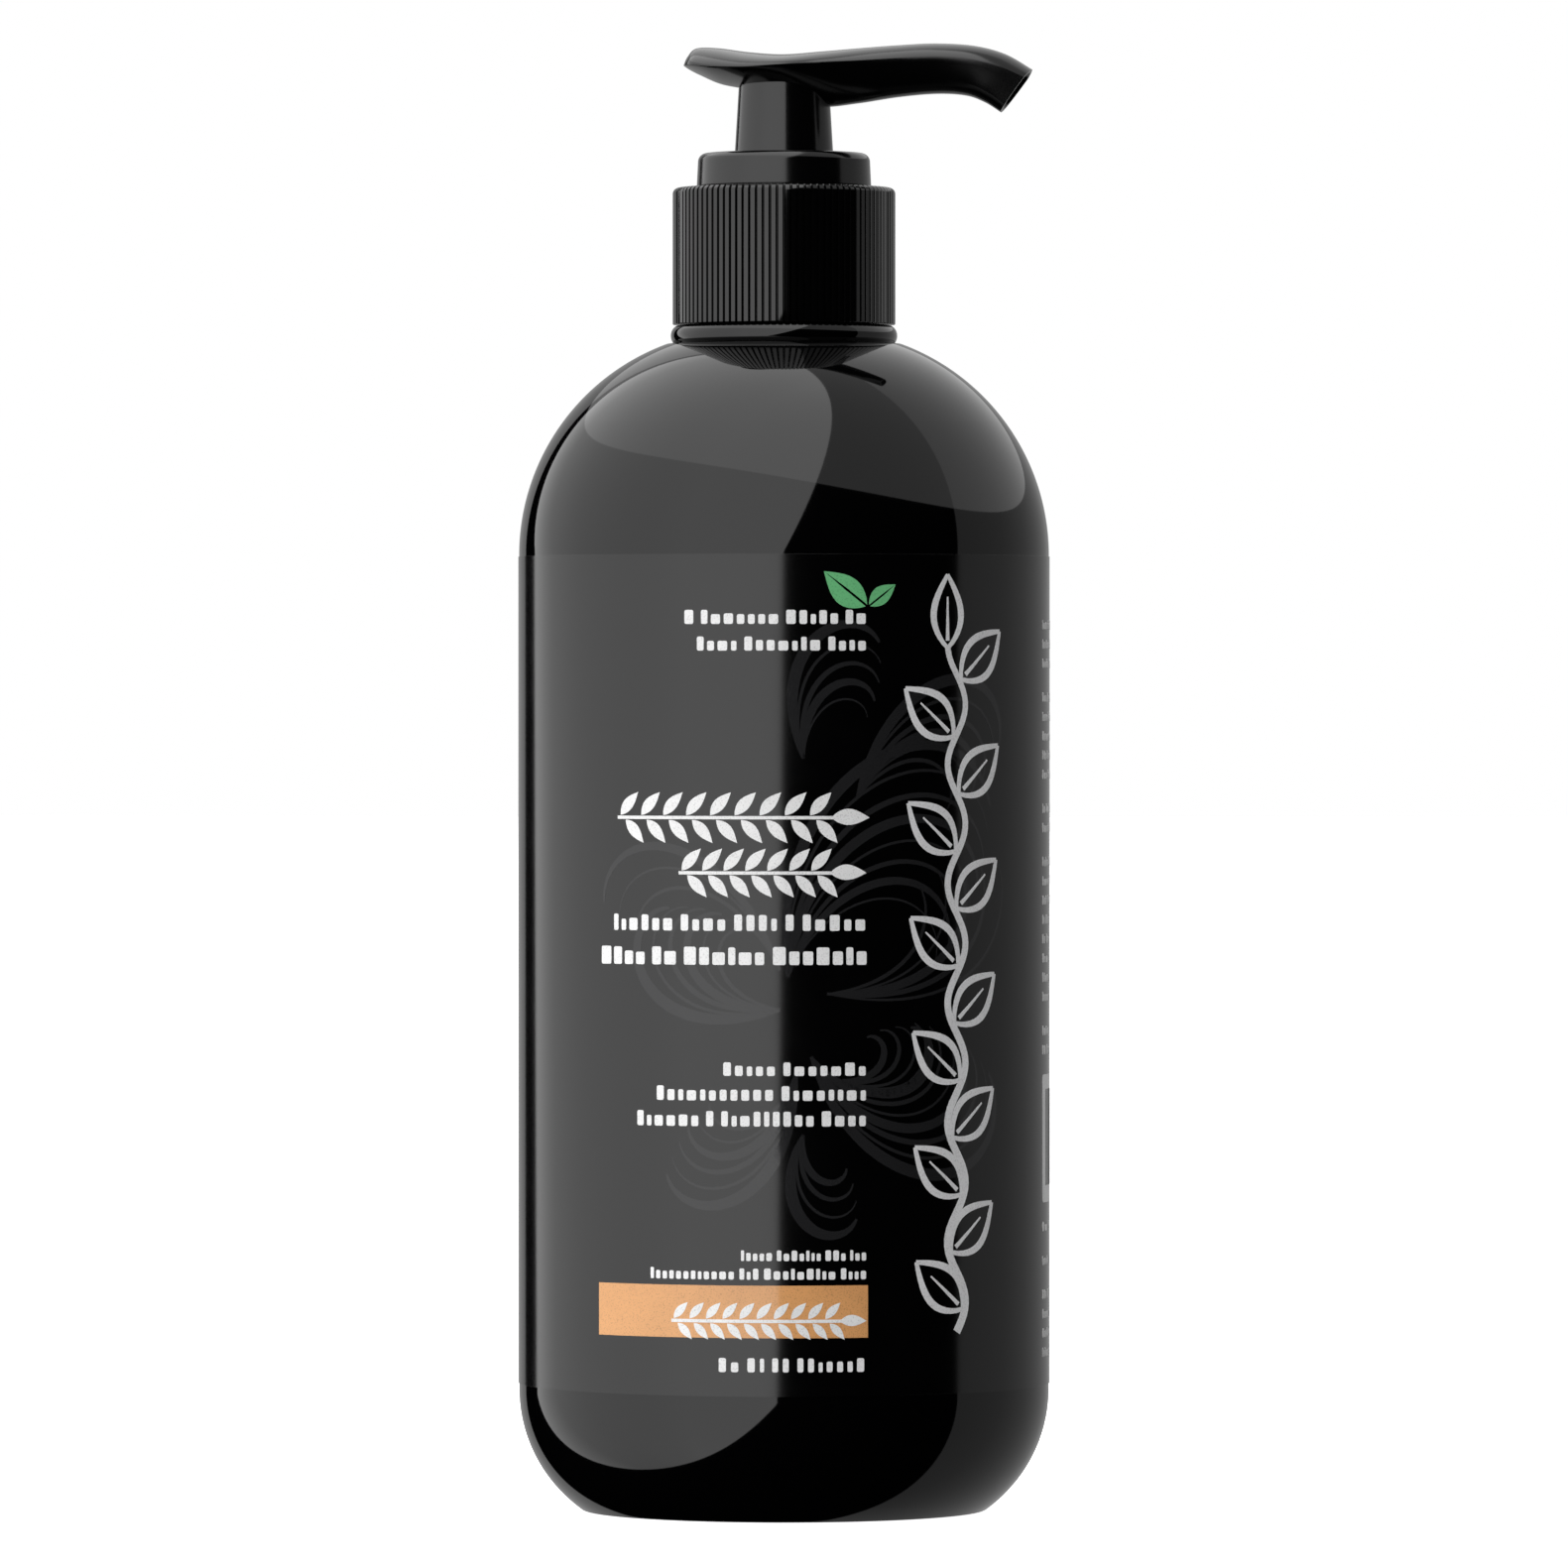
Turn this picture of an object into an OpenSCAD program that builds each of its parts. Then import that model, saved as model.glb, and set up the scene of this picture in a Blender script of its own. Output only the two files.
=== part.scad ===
// Pump oil bottle: a round-shouldered bottle, a screw-on lotion pump and a wrap label.
// The origin is the centre of the base on the surface it stands on, +Z is up, and the spout points along +X.

/* [Bottle] */
// Outer diameter of the body
bottle_d = 69; // [66:0.5:72]
// Height of the body, from the base to the root of the neck
body_h = 152.3; // [140:0.1:165]
// Radius of the round shoulder
shoulder_r = 29.3; // [28:0.1:30]
// Radius of the round heel
heel_r = 19.2; // [18:0.1:20]
// Height of the heel's centre above the base
heel_z = 15.8; // [15:0.1:16.5]
// Wall thickness of the body
wall = 0.9; // [0.7:0.05:1.2]
// Height of the dome pushed up into the base
push_up = 4; // [3:0.5:5]

/* [Neck and thread] */
// Height of the neck finish above the bead
finish_h = 14.1; // [13.5:0.1:14.5]
// Diameter of the neck at the root of its thread
neck_d = 21.6; // [21.4:0.1:21.8]
// Bore of the neck
neck_bore = 19.2; // [19.2:0.1:19.4]
// Diameter of the bead under the collar
bead_d = 29.6; // [28:0.1:30]
// Thread pitch, eight turns to the inch
pitch = 3.175; // [3:0.005:3.2]
// Turns of thread that engage
thread_turns = 1.5; // [1:0.25:1.5]

/* [Collar and chaplet] */
// Outer diameter of the collar over its ribs
collar_d = 29; // [28.8:0.1:30]
// Height of the collar
collar_h = 17.8; // [17.4:0.1:18]
// Number of grip ribs
rib_n = 100; // [60:2:120]
// Depth of the grooves between the ribs
rib_depth = 0.32; // [0.2:0.02:0.4]
// Outer diameter of the chaplet, the smooth ring above the collar
chaplet_d = 22.7; // [22:0.1:24]
// Height of the chaplet above the collar
chaplet_h = 4.5; // [4:0.1:5]

/* [Head] */
// Diameter of the head's column where it leaves the chaplet
column_d = 12.8; // [12.4:0.1:13]
// Loss of the column's radius for each millimetre of height
column_taper = 0.059; // [0.04:0.001:0.06]
// Travel of the pump stroke
stroke = 5.5; // [3:0.1:5.5]

/* [Pump engine] */
// Bore of the pump cylinder
cylinder_bore = 11.5; // [11.4:0.1:11.8]
// Outer diameter of the stem
stem_d = 6.4; // [6.2:0.1:6.5]
// Bore of the stem
stem_bore = 3.8; // [3.4:0.1:4]
// Lag of the piston on its stem, which opens the outlet
piston_slip = 0.8; // [0.4:0.1:0.8]
// Diameter of the inlet ball
ball_d = 4; // [3.8:0.1:4]
// Outer diameter of the dip tube
tube_d = 5; // [4.6:0.1:5]
// Bore of the dip tube
tube_bore = 3.5; // [3:0.1:3.8]
// Wire diameter of the return spring
wire_d = 0.8; // [0.6:0.05:0.9]
// Turns of the return spring
spring_turns = 8; // [6:1:9]

/* [Label] */
// Thickness of the label film
label_t = 0.08; // [0.06:0.01:0.12]
// Gap between the label's two ends at the back
label_gap_deg = 4; // [2:1:10]

/* [Hidden] */
$fn = 96;
fine = 0.02;
cut = 1;

body_r = bottle_d / 2;
shoulder_c = body_r - shoulder_r;
bead_r = bead_d / 2;
bead_h = 2.2;
neck_root_r = bead_r - 1;
shoulder_z = body_h - sqrt(pow(shoulder_r, 2) - pow(neck_root_r - shoulder_c, 2));
heel_c = body_r - heel_r;
foot_r = 0.7;
foot_c = heel_c + sqrt(pow(heel_r - foot_r, 2) - pow(heel_z - foot_r, 2));
foot_angle = -acos((foot_c - heel_c) / (heel_r - foot_r));
ring_w = 3.3;
floor_t = 1.4;
bead_z = body_h + 0.6;
bead_top = bead_z + bead_h / 2;
lip_z = bead_top + finish_h;

thread_out = 1.1;
thread_root_w = 0.85;
thread_crest_w = 0.4;
thread_z = lip_z - 2.2 - thread_turns * pitch;
thread_steps = 36;

gasket_t = 0.9;
flange_t = 1.4;
flange_z = lip_z + gasket_t + 0.1;
collar_z = bead_top + 0.3;
collar_top = collar_z + collar_h;
collar_r = collar_d / 2;
collar_bore_r = 12.3;
collar_hole_r = 10.4;
collar_roof = collar_top - flange_z - flange_t - 0.1;

chaplet_r = chaplet_d / 2;
chaplet_z = collar_top + 0.2;
chaplet_top = collar_top + chaplet_h;
chaplet_edge = 1.1;
sleeve_r = 8.36;
chaplet_bore_r = column_d / 2 + 0.55;
guide_z = flange_z - 7.3;
guide_t = 1.5;

cylinder_r = cylinder_bore / 2;
stem_r = stem_d / 2;
running = 0.06;
shoulder_top = guide_z - 0.1;
shoulder_h = 1.7;
piston_top = shoulder_top - shoulder_h - piston_slip - 0.1;
piston_h = 7.1;
disc_top = piston_top - piston_h - 0.05;
disc_t = 1.45;
seat_z = 135.6;
ball_r = ball_d / 2;
cage_r = ball_r + 0.4;
seat_angle = 40;
seat_hole_r = 1.3;
seat_low_z = seat_z - 5.3;
seat_high_z = seat_low_z + (cage_r - seat_hole_r) / tan(seat_angle);
ball_z = seat_low_z - seat_hole_r / tan(seat_angle) + ball_r / sin(seat_angle) + 0.03;
socket_z = seat_low_z - 0.8;
socket_end = socket_z - 10;
tube_end = push_up + floor_t + 1.2;

column_low = chaplet_top - 5.3;
column_high = chaplet_top + 10.2;
stem_top = chaplet_top + 6.8;
head_bead_z = stem_top - 2.4;

// Stations of the head, from the thumb rest's tip to the nozzle, measured from the chaplet's top.
// Each is top x, top z, bottom x, bottom z, half width, depth of the side edge as a share of the
// height, the roundness of the underside, from 1, a straight keel, to 3, a square one, and how far
// the sides lean in towards the bottom.
head_stations = [
    [-12.9, 11.8, -12.9, 11.3, 2.2, 0.8, 1.5, 0],
    [-12.45, 12.8, -12.3, 10.9, 4.4, 0.75, 1.4, 0],
    [-11.4, 13.75, -10.9, 10.2, 6.4, 0.7, 1.3, 0],
    [-8.6, 13.75, -8.2, 9.05, 8.3, 0.59, 1.3, 0],
    [-4.5, 13.2, -4.5, 8.3, 9.0, 0.47, 1.4, 0.05],
    [0, 12.9, 0, 7.2, 8.3, 0.3, 1.7, 0.18],
    [5, 13.25, 4.8, 6.05, 6.5, 0.25, 2.2, 0.34],
    [10, 13.65, 9.6, 6.45, 5.1, 0.265, 2.6, 0.42],
    [15, 14.0, 15, 7.25, 4.5, 0.285, 2.7, 0.4],
    [20, 14.2, 20, 7.65, 4.2, 0.295, 2.7, 0.34],
    [25, 13.85, 23.8, 7.4, 3.8, 0.3, 2.7, 0.18],
    [29, 12.75, 26.3, 6.5, 3.35, 0.29, 2.7, 0.06],
    [32.45, 10.75, 28.35, 5.2, 2.85, 0.22, 2.7, 0]
];
edge_round = 1.6;
head_rings = 36;
ring_points = 28;
channel_r = 1.6;
mouth_share = 0.84;
channel_from = 5;

// Points along an arc, from angle a to angle b, both ends included.
function arc(cx, cz, r, a, b, n) = [for (i = [0:n]) [cx + r * cos(a + (b - a) * i / n), cz + r * sin(a + (b - a) * i / n)]];

// A smooth curve through a list of rows, at place t, where whole numbers are the rows themselves.
function through(rows, t) =
    let (last = len(rows) - 1, i = min(floor(t), last - 1), u = t - i,
        a = rows[max(i - 1, 0)], b = rows[i], c = rows[i + 1], d = rows[min(i + 2, last)])
    0.5 * (2 * b + (c - a) * u + (2 * a - 5 * b + 4 * c - d) * u * u + (3 * b - a - 3 * c + d) * u * u * u);

// A closed solid through a list of rings that have the same number of points.
module skin(rings) {
    n = len(rings[0]);
    m = len(rings);
    sides = [for (i = [0:m - 2], j = [0:n - 1]) each
        [[i * n + j, (i + 1) * n + j, i * n + (j + 1) % n],
         [i * n + (j + 1) % n, (i + 1) * n + j, (i + 1) * n + (j + 1) % n]]];
    first = [for (j = [1:n - 2]) [0, j, j + 1]];
    last = [for (j = [1:n - 2]) [(m - 1) * n, (m - 1) * n + j + 1, (m - 1) * n + j]];
    polyhedron([for (r = rings) each r], concat(sides, first, last));
}

module ring(outer_r, inner_r, low, high) {
    translate([0, 0, low]) difference() {
        cylinder(r = outer_r, h = high - low);
        translate([0, 0, -cut]) cylinder(r = inner_r, h = high - low + 2 * cut);
    }
}

// A screw thread. side is 1 for ridges that stand out and -1 for ridges that stand in, and the ends run out.
module thread(root_r, side, low_z) {
    steps = thread_turns * thread_steps;
    runout = thread_steps / 8;
    skin([for (i = [0:steps])
        let (a = 360 * i / thread_steps, z = low_z + pitch * i / thread_steps,
            height = thread_out * max(0.1, min(1, i / runout, (steps - i) / runout)),
            root = root_r - 0.25 * side, crest = root_r + height * side,
            section = [[root, -thread_root_w], [crest, -thread_crest_w], [crest, thread_crest_w], [root, thread_root_w]])
        [for (k = [0:3]) let (p = section[side > 0 ? 3 - k : k]) [p[0] * cos(a), p[0] * sin(a), z + p[1]]]]);
}

module bottle_outside() {
    polygon(concat(
        arc(0, push_up - dome_r(0), dome_r(0), 90, dome_edge_angle(0), 10),
        arc(foot_c, foot_r, foot_r, -90, foot_angle, 5),
        arc(heel_c, heel_z, heel_r, foot_angle, 0, 20),
        arc(shoulder_c, shoulder_z, shoulder_r, 0, asin((body_h - shoulder_z) / shoulder_r), 32),
        [[neck_d / 2, body_h], [neck_d / 2, lip_z - 0.4], [neck_d / 2 - 0.4, lip_z], [0, lip_z]]
    ));
    translate([bead_r - bead_h / 2, bead_z]) circle(d = bead_h);
    translate([neck_d / 4, bead_z - bead_h / 2]) square([bead_r - bead_h / 2 - neck_d / 4, bead_h]);
}

// Radius of the dome in the base, and the angle where it meets the standing ring.
function dome_span(t) = foot_c - ring_w - t / 2;
function dome_r(t) = (pow(dome_span(t), 2) + pow(push_up, 2)) / (2 * push_up);
function dome_edge_angle(t) = 90 - asin(dome_span(t) / dome_r(t));

module bottle_inside() {
    heel_low = -asin((heel_z - floor_t) / (heel_r - wall));
    roof = asin(0.999 * sqrt(1 - pow((neck_bore / 2 - shoulder_c) / (shoulder_r - wall), 2)));
    polygon(concat(
        arc(0, push_up + floor_t - dome_r(floor_t), dome_r(floor_t), 90, dome_edge_angle(floor_t), 10),
        arc(heel_c, heel_z, heel_r - wall, heel_low, 0, 20),
        arc(shoulder_c, shoulder_z, shoulder_r - wall, 0, roof, 30),
        [[neck_bore / 2, body_h + 0.4], [neck_bore / 2, lip_z + cut], [0, lip_z + cut]]
    ));
}

module bottle() {
    color("#0b0b0c") {
        rotate_extrude() difference() {
            bottle_outside();
            bottle_inside();
        }
        thread(neck_d / 2, 1, thread_z);
    }
}

module wrap_label() {
    color("#1c1c1e") rotate([0, 0, 90 + label_gap_deg / 2])
        rotate_extrude(angle = 360 - label_gap_deg)
            translate([body_r + fine, heel_z + 0.8]) square([label_t, shoulder_z - heel_z - 1]);
}

module neck_gasket() {
    color("#e8e8e4") ring(neck_d / 2 + 0.8, neck_bore / 2 + 0.1, lip_z + 0.05, flange_z - 0.05);
}

// The ribbed outline of the collar: flat-topped ribs with narrow grooves between them.
module rib_outline() {
    step = 360 / rib_n;
    polygon([for (i = [0:rib_n - 1], p = [[0.0, 0], [0.62, 0], [0.74, 1], [0.88, 1]])
        let (r = collar_r - rib_depth * p[1], a = step * (i + p[0])) [r * cos(a), r * sin(a)]]);
}

module closure_collar() {
    edge = 0.7;
    color("#0b0b0c") difference() {
        union() {
            difference() {
                intersection() {
                    translate([0, 0, collar_z]) linear_extrude(height = collar_h) rib_outline();
                    rotate_extrude() polygon([
                        [0, collar_z], [collar_r - 0.2, collar_z], [collar_r + 0.2, collar_z + 0.4],
                        [collar_r + 0.2, collar_top - edge - 0.2], [collar_r - edge, collar_top], [0, collar_top]
                    ]);
                }
                translate([0, 0, collar_z - cut]) cylinder(r = collar_bore_r, h = collar_h - collar_roof + cut);
            }
            thread(collar_bore_r, -1, thread_z - pitch / 2);
        }
        translate([0, 0, collar_z - cut]) cylinder(r = collar_hole_r, h = collar_h + 2 * cut);
    }
}

module chaplet() {
    color("#0b0b0c") rotate_extrude() polygon(concat(
        [[chaplet_bore_r, guide_z + guide_t], [stem_r + 0.08, guide_z + guide_t], [stem_r + 0.08, guide_z],
         [sleeve_r - 0.3, guide_z], [sleeve_r, guide_z + 0.4], [sleeve_r, flange_z + flange_t + fine],
         [collar_hole_r - 0.2, flange_z + flange_t + fine], [collar_hole_r - 0.2, chaplet_z],
         [chaplet_r, chaplet_z]],
        arc(chaplet_r - 0.15 - chaplet_edge, chaplet_top - chaplet_edge, chaplet_edge, 0, 90, 8),
        [[chaplet_bore_r + 0.4, chaplet_top], [chaplet_bore_r, chaplet_top - 0.4]]
    ));
}

module pump_housing() {
    upper_r = neck_bore / 2 - 0.3;
    color("#eceae4") {
        difference() {
            rotate_extrude() polygon([
                [sleeve_r + 0.04, flange_z + flange_t], [sleeve_r + 0.04, guide_z - 0.15],
                [cylinder_r, guide_z - 0.15], [cylinder_r, seat_z + 0.8], [cylinder_r - 0.5, seat_z],
                [cage_r, seat_z], [cage_r, seat_high_z], [seat_hole_r, seat_low_z],
                [seat_hole_r, socket_z], [tube_d / 2 + fine, socket_z], [tube_d / 2 + fine, socket_end + 0.5],
                [tube_d / 2 + 0.4, socket_end], [tube_d / 2 + 1.1, socket_end], [tube_d / 2 + 1.1, seat_low_z],
                [cylinder_r + 0.9, seat_z - 0.8], [cylinder_r + 0.9, guide_z - 1.6], [upper_r, guide_z - 0.6],
                [upper_r, flange_z], [neck_d / 2 + 0.8, flange_z], [neck_d / 2 + 0.8, flange_z + flange_t]
            ]);
            // Vent hole that lets air in over the oil.
            translate([cylinder_r + 2.2, 0, flange_z - 3]) rotate([0, 90, 0])
                cylinder(d = 1, h = upper_r - cylinder_r, $fn = 24);
        }
        // Nibs that keep the ball in its cage.
        for (i = [0:3]) rotate([0, 0, 45 + 90 * i])
            translate([ball_r - 0.4, -0.4, seat_z - 0.1]) cube([1.2, 0.8, 0.7]);
    }
}

module dip_tube() {
    color("#f4f4f0") difference() {
        ring(tube_d / 2, tube_bore / 2, tube_end, socket_z - 0.1);
        // The slanted end that keeps the tube off the floor of the bottle.
        translate([0, 0, tube_end]) rotate([0, 30, 0]) translate([-8, -8, -8]) cube([16, 16, 8]);
    }
}

module inlet_ball() {
    color("#c8cacc") translate([0, 0, ball_z]) sphere(d = ball_d);
}

module return_spring() {
    steps_a_turn = 16;
    sides = 6;
    low = seat_z + wire_d / 2 + 0.03;
    high = disc_top - disc_t - wire_d / 2 - 0.03;
    coil_r = 4.4;
    steps = spring_turns * steps_a_turn;
    // The first and last turns lie flat, and the rest climb evenly.
    function height(i) = low + (high - low - 2 * wire_d)
        * max(0, min(1, (i - steps_a_turn) / (steps - 2 * steps_a_turn)))
        + wire_d * (min(i, steps_a_turn) + max(0, i - steps + steps_a_turn)) / steps_a_turn;
    color("#b9bcc0") skin([for (i = [0:steps])
        let (a = 360 * i / steps_a_turn, z = height(i))
        [for (k = [0:sides - 1])
            let (r = coil_r + wire_d / 2 * sin(360 * k / sides), h = z + wire_d / 2 * cos(360 * k / sides))
            [r * cos(a), r * sin(a), h]]]);
}

module piston_core() {
    plug_r = stem_bore / 2 - 0.04;
    pilot_r = 3.5;
    color("#eceae4") difference() {
        rotate_extrude() polygon([
            [0, disc_top - disc_t - 4.6], [pilot_r - 1.4, disc_top - disc_t - 4.6], [pilot_r, disc_top - disc_t - 3],
            [pilot_r, disc_top - disc_t], [cylinder_r - 0.8, disc_top - disc_t], [cylinder_r - 0.8, disc_top - 0.3],
            [cylinder_r - 1.1, disc_top], [plug_r, disc_top], [plug_r, disc_top + 5], [plug_r - 0.3, disc_top + 5.4],
            [0, disc_top + 5.4]
        ]);
        // Flutes that carry the oil up past the plug.
        for (i = [0:3]) rotate([0, 0, 90 * i])
            translate([plug_r - 0.7, -0.45, disc_top]) cube([2, 0.9, 6]);
    }
}

module piston() {
    hub_r = stem_r + running;
    lip_r = cylinder_r - 0.04;
    low = piston_top - piston_h;
    color("#f2f2ee") rotate_extrude() polygon([
        [hub_r, low], [hub_r + 0.9, low], [hub_r + 0.9, low + 2.8], [lip_r - 0.9, low + 2.8],
        [lip_r - 0.6, low - 0.3], [lip_r, low - 0.3], [lip_r, low + 0.7], [lip_r - 0.2, low + 1.2],
        [lip_r - 0.2, low + 4.9], [lip_r, low + 5.4], [lip_r, low + 6.3], [lip_r - 0.6, low + 6.3],
        [lip_r - 0.9, low + 4], [hub_r + 0.9, low + 4], [hub_r + 0.9, piston_top], [hub_r, piston_top]
    ]);
}

module upper_stem() {
    low = disc_top + 0.65;
    color("#eceae4") rotate_extrude() polygon([
        [stem_bore / 2, low], [stem_r, low], [stem_r, shoulder_top - shoulder_h], [cylinder_r - 1, shoulder_top - shoulder_h],
        [cylinder_r - 1, shoulder_top], [stem_r, shoulder_top], [stem_r, head_bead_z - 0.4],
        [stem_r - 0.3, head_bead_z - 0.4], [stem_r - 0.3, head_bead_z + 0.4], [stem_r, head_bead_z + 0.4],
        [stem_r, stem_top - 0.4], [stem_r - 0.4, stem_top], [stem_bore / 2, stem_top]
    ]);
}

// One ring of the head at station t: a rounded upper half over the side edge, and an underside below it.
function head_ring(t) =
    let (s = through(head_stations, t), top = [s[0], s[1]], bottom = [s[2], s[3]],
        edge = top + (bottom - top) * s[5])
    [for (k = [0:ring_points - 1])
        let (a = 360 * k / ring_points, up = sin(a) >= 0, power = 2 / (up ? edge_round : s[6]),
            h = pow(abs(sin(a)), power), lean = up ? 1 : 1 - s[7] * h,
            y = lean * s[4] * sign(cos(a)) * pow(abs(cos(a)), power),
            p = edge + ((up ? top : bottom) - edge) * h)
        [p[0], y, chaplet_top + p[1]]];

// The oil way in the spout: a round tube that widens to the mouth, which has the spout's own section.
function channel_ring(t) =
    let (last = len(head_stations) - 1, s = through(head_stations, min(t, last)),
        top = [s[0], s[1]], bottom = [s[2], s[3]], up = (top - bottom) / norm(top - bottom),
        out = max(0, t - last) * [up[1], -up[0]], middle = (top + bottom) / 2,
        open = min(1, pow(max(0, (t - last + 2.5) / 2.5), 2)), outside = head_ring(min(t, last)))
    [for (k = [0:ring_points - 1])
        let (a = 360 * k / ring_points, c = middle + up * channel_r * sin(a),
            q = [outside[k][0], outside[k][2] - chaplet_top], m = middle + (q - middle) * mouth_share,
            p = c + (m - c) * open + out, y = channel_r * cos(a))
        [p[0], y + (outside[k][1] * mouth_share - y) * open, chaplet_top + p[1]]];

module head_body() {
    last = len(head_stations) - 1;
    skin([for (i = [0:head_rings]) head_ring(last * i / head_rings)]);
}

module oil_way() {
    last = len(head_stations) - 1;
    steps = 14;
    skin([for (i = [0:steps + 1]) channel_ring(channel_from + (last - channel_from) * i / steps)]);
}

module actuator() {
    socket_r = stem_r + running;
    column_r = column_d / 2;
    ceiling = chaplet_top + 5;
    color("#0b0b0c") difference() {
        union() {
            head_body();
            translate([0, 0, column_low]) cylinder(r1 = column_r + (chaplet_top - column_low) * column_taper,
                r2 = column_r - (column_high - chaplet_top) * column_taper, h = column_high - column_low);
        }
        oil_way();
        // The hollow of the column, around the socket that holds the stem.
        ring(column_r - 1.4, socket_r + 0.9, column_low - cut, ceiling);
        translate([0, 0, column_low - cut]) cylinder(r = column_r - 1.4, h = 1.7 + cut);
        difference() {
            translate([0, 0, column_low]) cylinder(r = socket_r, h = stem_top + 0.1 - column_low);
            ring(socket_r + 1, stem_r - 0.18, head_bead_z - 0.2, head_bead_z + 0.2);
        }
        translate([0, 0, stem_top]) cylinder(r = channel_r, h = 3.2);
    }
}

bottle();
wrap_label();
neck_gasket();
closure_collar();
chaplet();
pump_housing();
dip_tube();
inlet_ball();
return_spring();
piston_core();
piston();
upper_stem();
actuator();
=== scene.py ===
"""Pump oil bottle: the finished pieces, built around the packed frame."""
import math
import random

import bmesh
import bpy
from bpy.props import FloatProperty, FloatVectorProperty, IntProperty, PointerProperty
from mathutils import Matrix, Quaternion, Vector


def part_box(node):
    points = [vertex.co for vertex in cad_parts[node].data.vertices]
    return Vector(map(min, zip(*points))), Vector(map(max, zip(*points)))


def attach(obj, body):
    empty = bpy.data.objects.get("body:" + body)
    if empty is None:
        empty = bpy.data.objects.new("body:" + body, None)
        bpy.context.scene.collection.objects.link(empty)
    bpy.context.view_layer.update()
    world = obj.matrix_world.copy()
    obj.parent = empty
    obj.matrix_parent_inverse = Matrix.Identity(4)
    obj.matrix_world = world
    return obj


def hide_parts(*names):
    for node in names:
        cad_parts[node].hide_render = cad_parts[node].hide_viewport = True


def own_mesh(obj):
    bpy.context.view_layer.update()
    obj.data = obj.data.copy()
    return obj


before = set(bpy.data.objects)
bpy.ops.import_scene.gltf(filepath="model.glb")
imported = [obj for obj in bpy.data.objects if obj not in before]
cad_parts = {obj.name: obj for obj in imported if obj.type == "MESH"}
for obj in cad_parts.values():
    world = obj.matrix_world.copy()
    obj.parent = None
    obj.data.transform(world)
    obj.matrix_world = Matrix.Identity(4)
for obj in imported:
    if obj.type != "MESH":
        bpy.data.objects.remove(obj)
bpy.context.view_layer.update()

bl_info = {
    "name": "Pump oil bottle",
    "version": (1, 0, 0),
    "blender": (4, 5, 0),
    "location": "3D View > Sidebar > Oil bottle",
    "description": "Builds a black pump bottle with its label, closure, pump head and studio",
    "category": "Add Mesh",
}

MM = 0.001


def extent(node):
    """A CAD node's radius, foot and top."""
    low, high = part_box(node)
    return high.x, low.z, high.z


BODY_R, _, LIP_Z = extent("bottle")
LABEL_R, LABEL_LOW, LABEL_HIGH = extent("wrap_label")
COLLAR_R, COLLAR_LOW, COLLAR_TOP = extent("closure_collar")
CHAPLET_R, CHAPLET_LOW, CHAPLET_TOP = extent("chaplet")
SPRING_R, SPRING_LOW, SPRING_TOP = extent("return_spring")
FRONT = -math.pi / 2


# -------- settings


def length(name, description, default):
    return FloatProperty(name=name, description=description, default=default, unit="LENGTH", precision=5)


def number(name, description, default):
    return FloatProperty(name=name, description=description, default=default)


def colour(name, description, default):
    return FloatVectorProperty(name=name, description=description, default=default, subtype="COLOR",
                               size=3, min=0, max=1)


def angle(name, description, degrees):
    return FloatProperty(name=name, description=description, default=math.radians(degrees), subtype="ANGLE")


class BottleSizes(bpy.types.PropertyGroup):
    """Sizes of the bottle that its outer box doesn't give."""

    shoulder_radius: length("Shoulder radius", "Radius of the round shoulder", 0.0293)
    heel_radius: length("Heel radius", "Radius of the round heel", 0.0192)
    heel_height: length("Heel height", "Height of the heel's centre", 0.0158)
    foot_radius: length("Foot radius", "Radius of the small edge the bottle stands on", 0.0007)
    push_up: length("Push-up", "Height of the dome in the base", 0.004)
    wall: length("Wall", "Thickness of the wall", 0.0009)
    neck_root: length("Neck root", "Height where the shoulder meets the neck", 0.1523)
    bead_radius: length("Bead radius", "Outer radius of the bead under the collar", 0.01475)
    neck_radius: length("Neck radius", "Radius of the neck at its thread's root", 0.0108)
    bore_radius: length("Bore radius", "Radius of the neck's bore", 0.0096)
    thread_pitch: length("Thread pitch", "Rise of the thread in one turn", 0.003175)
    seam_height: length("Mould seam", "Height of the mould's parting line", 0.00002)


class LabelSizes(bpy.types.PropertyGroup):
    """Sizes of the label and its print."""

    film: length("Film", "Thickness of the label film", 0.00008)
    ink: length("Ink", "Thickness of the printed ink", 0.000022)
    gap: angle("Gap", "Gap between the label's ends at the back", 4)
    turn: angle("Turn", "How far the print is turned towards the spout", 4)


class PumpSizes(bpy.types.PropertyGroup):
    """Sizes of the closure and the pump head."""

    ribs: IntProperty(name="Ribs", description="Number of grip ribs on the collar", default=100, min=20)
    rib_depth: length("Rib depth", "Depth of the grooves between the ribs", 0.0004)
    collar_edge: length("Collar edge", "Radius of the collar's top edge", 0.0008)
    chaplet_edge: length("Chaplet edge", "Radius of the chaplet's top edge", 0.0011)
    column_radius: length("Column radius", "Radius of the head's column at the chaplet", 0.0064)
    wire_radius: length("Wire radius", "Radius of the spring's wire", 0.0004)
    spring_turns: IntProperty(name="Spring turns", description="Turns of the return spring",
                              default=8, min=3)


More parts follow.
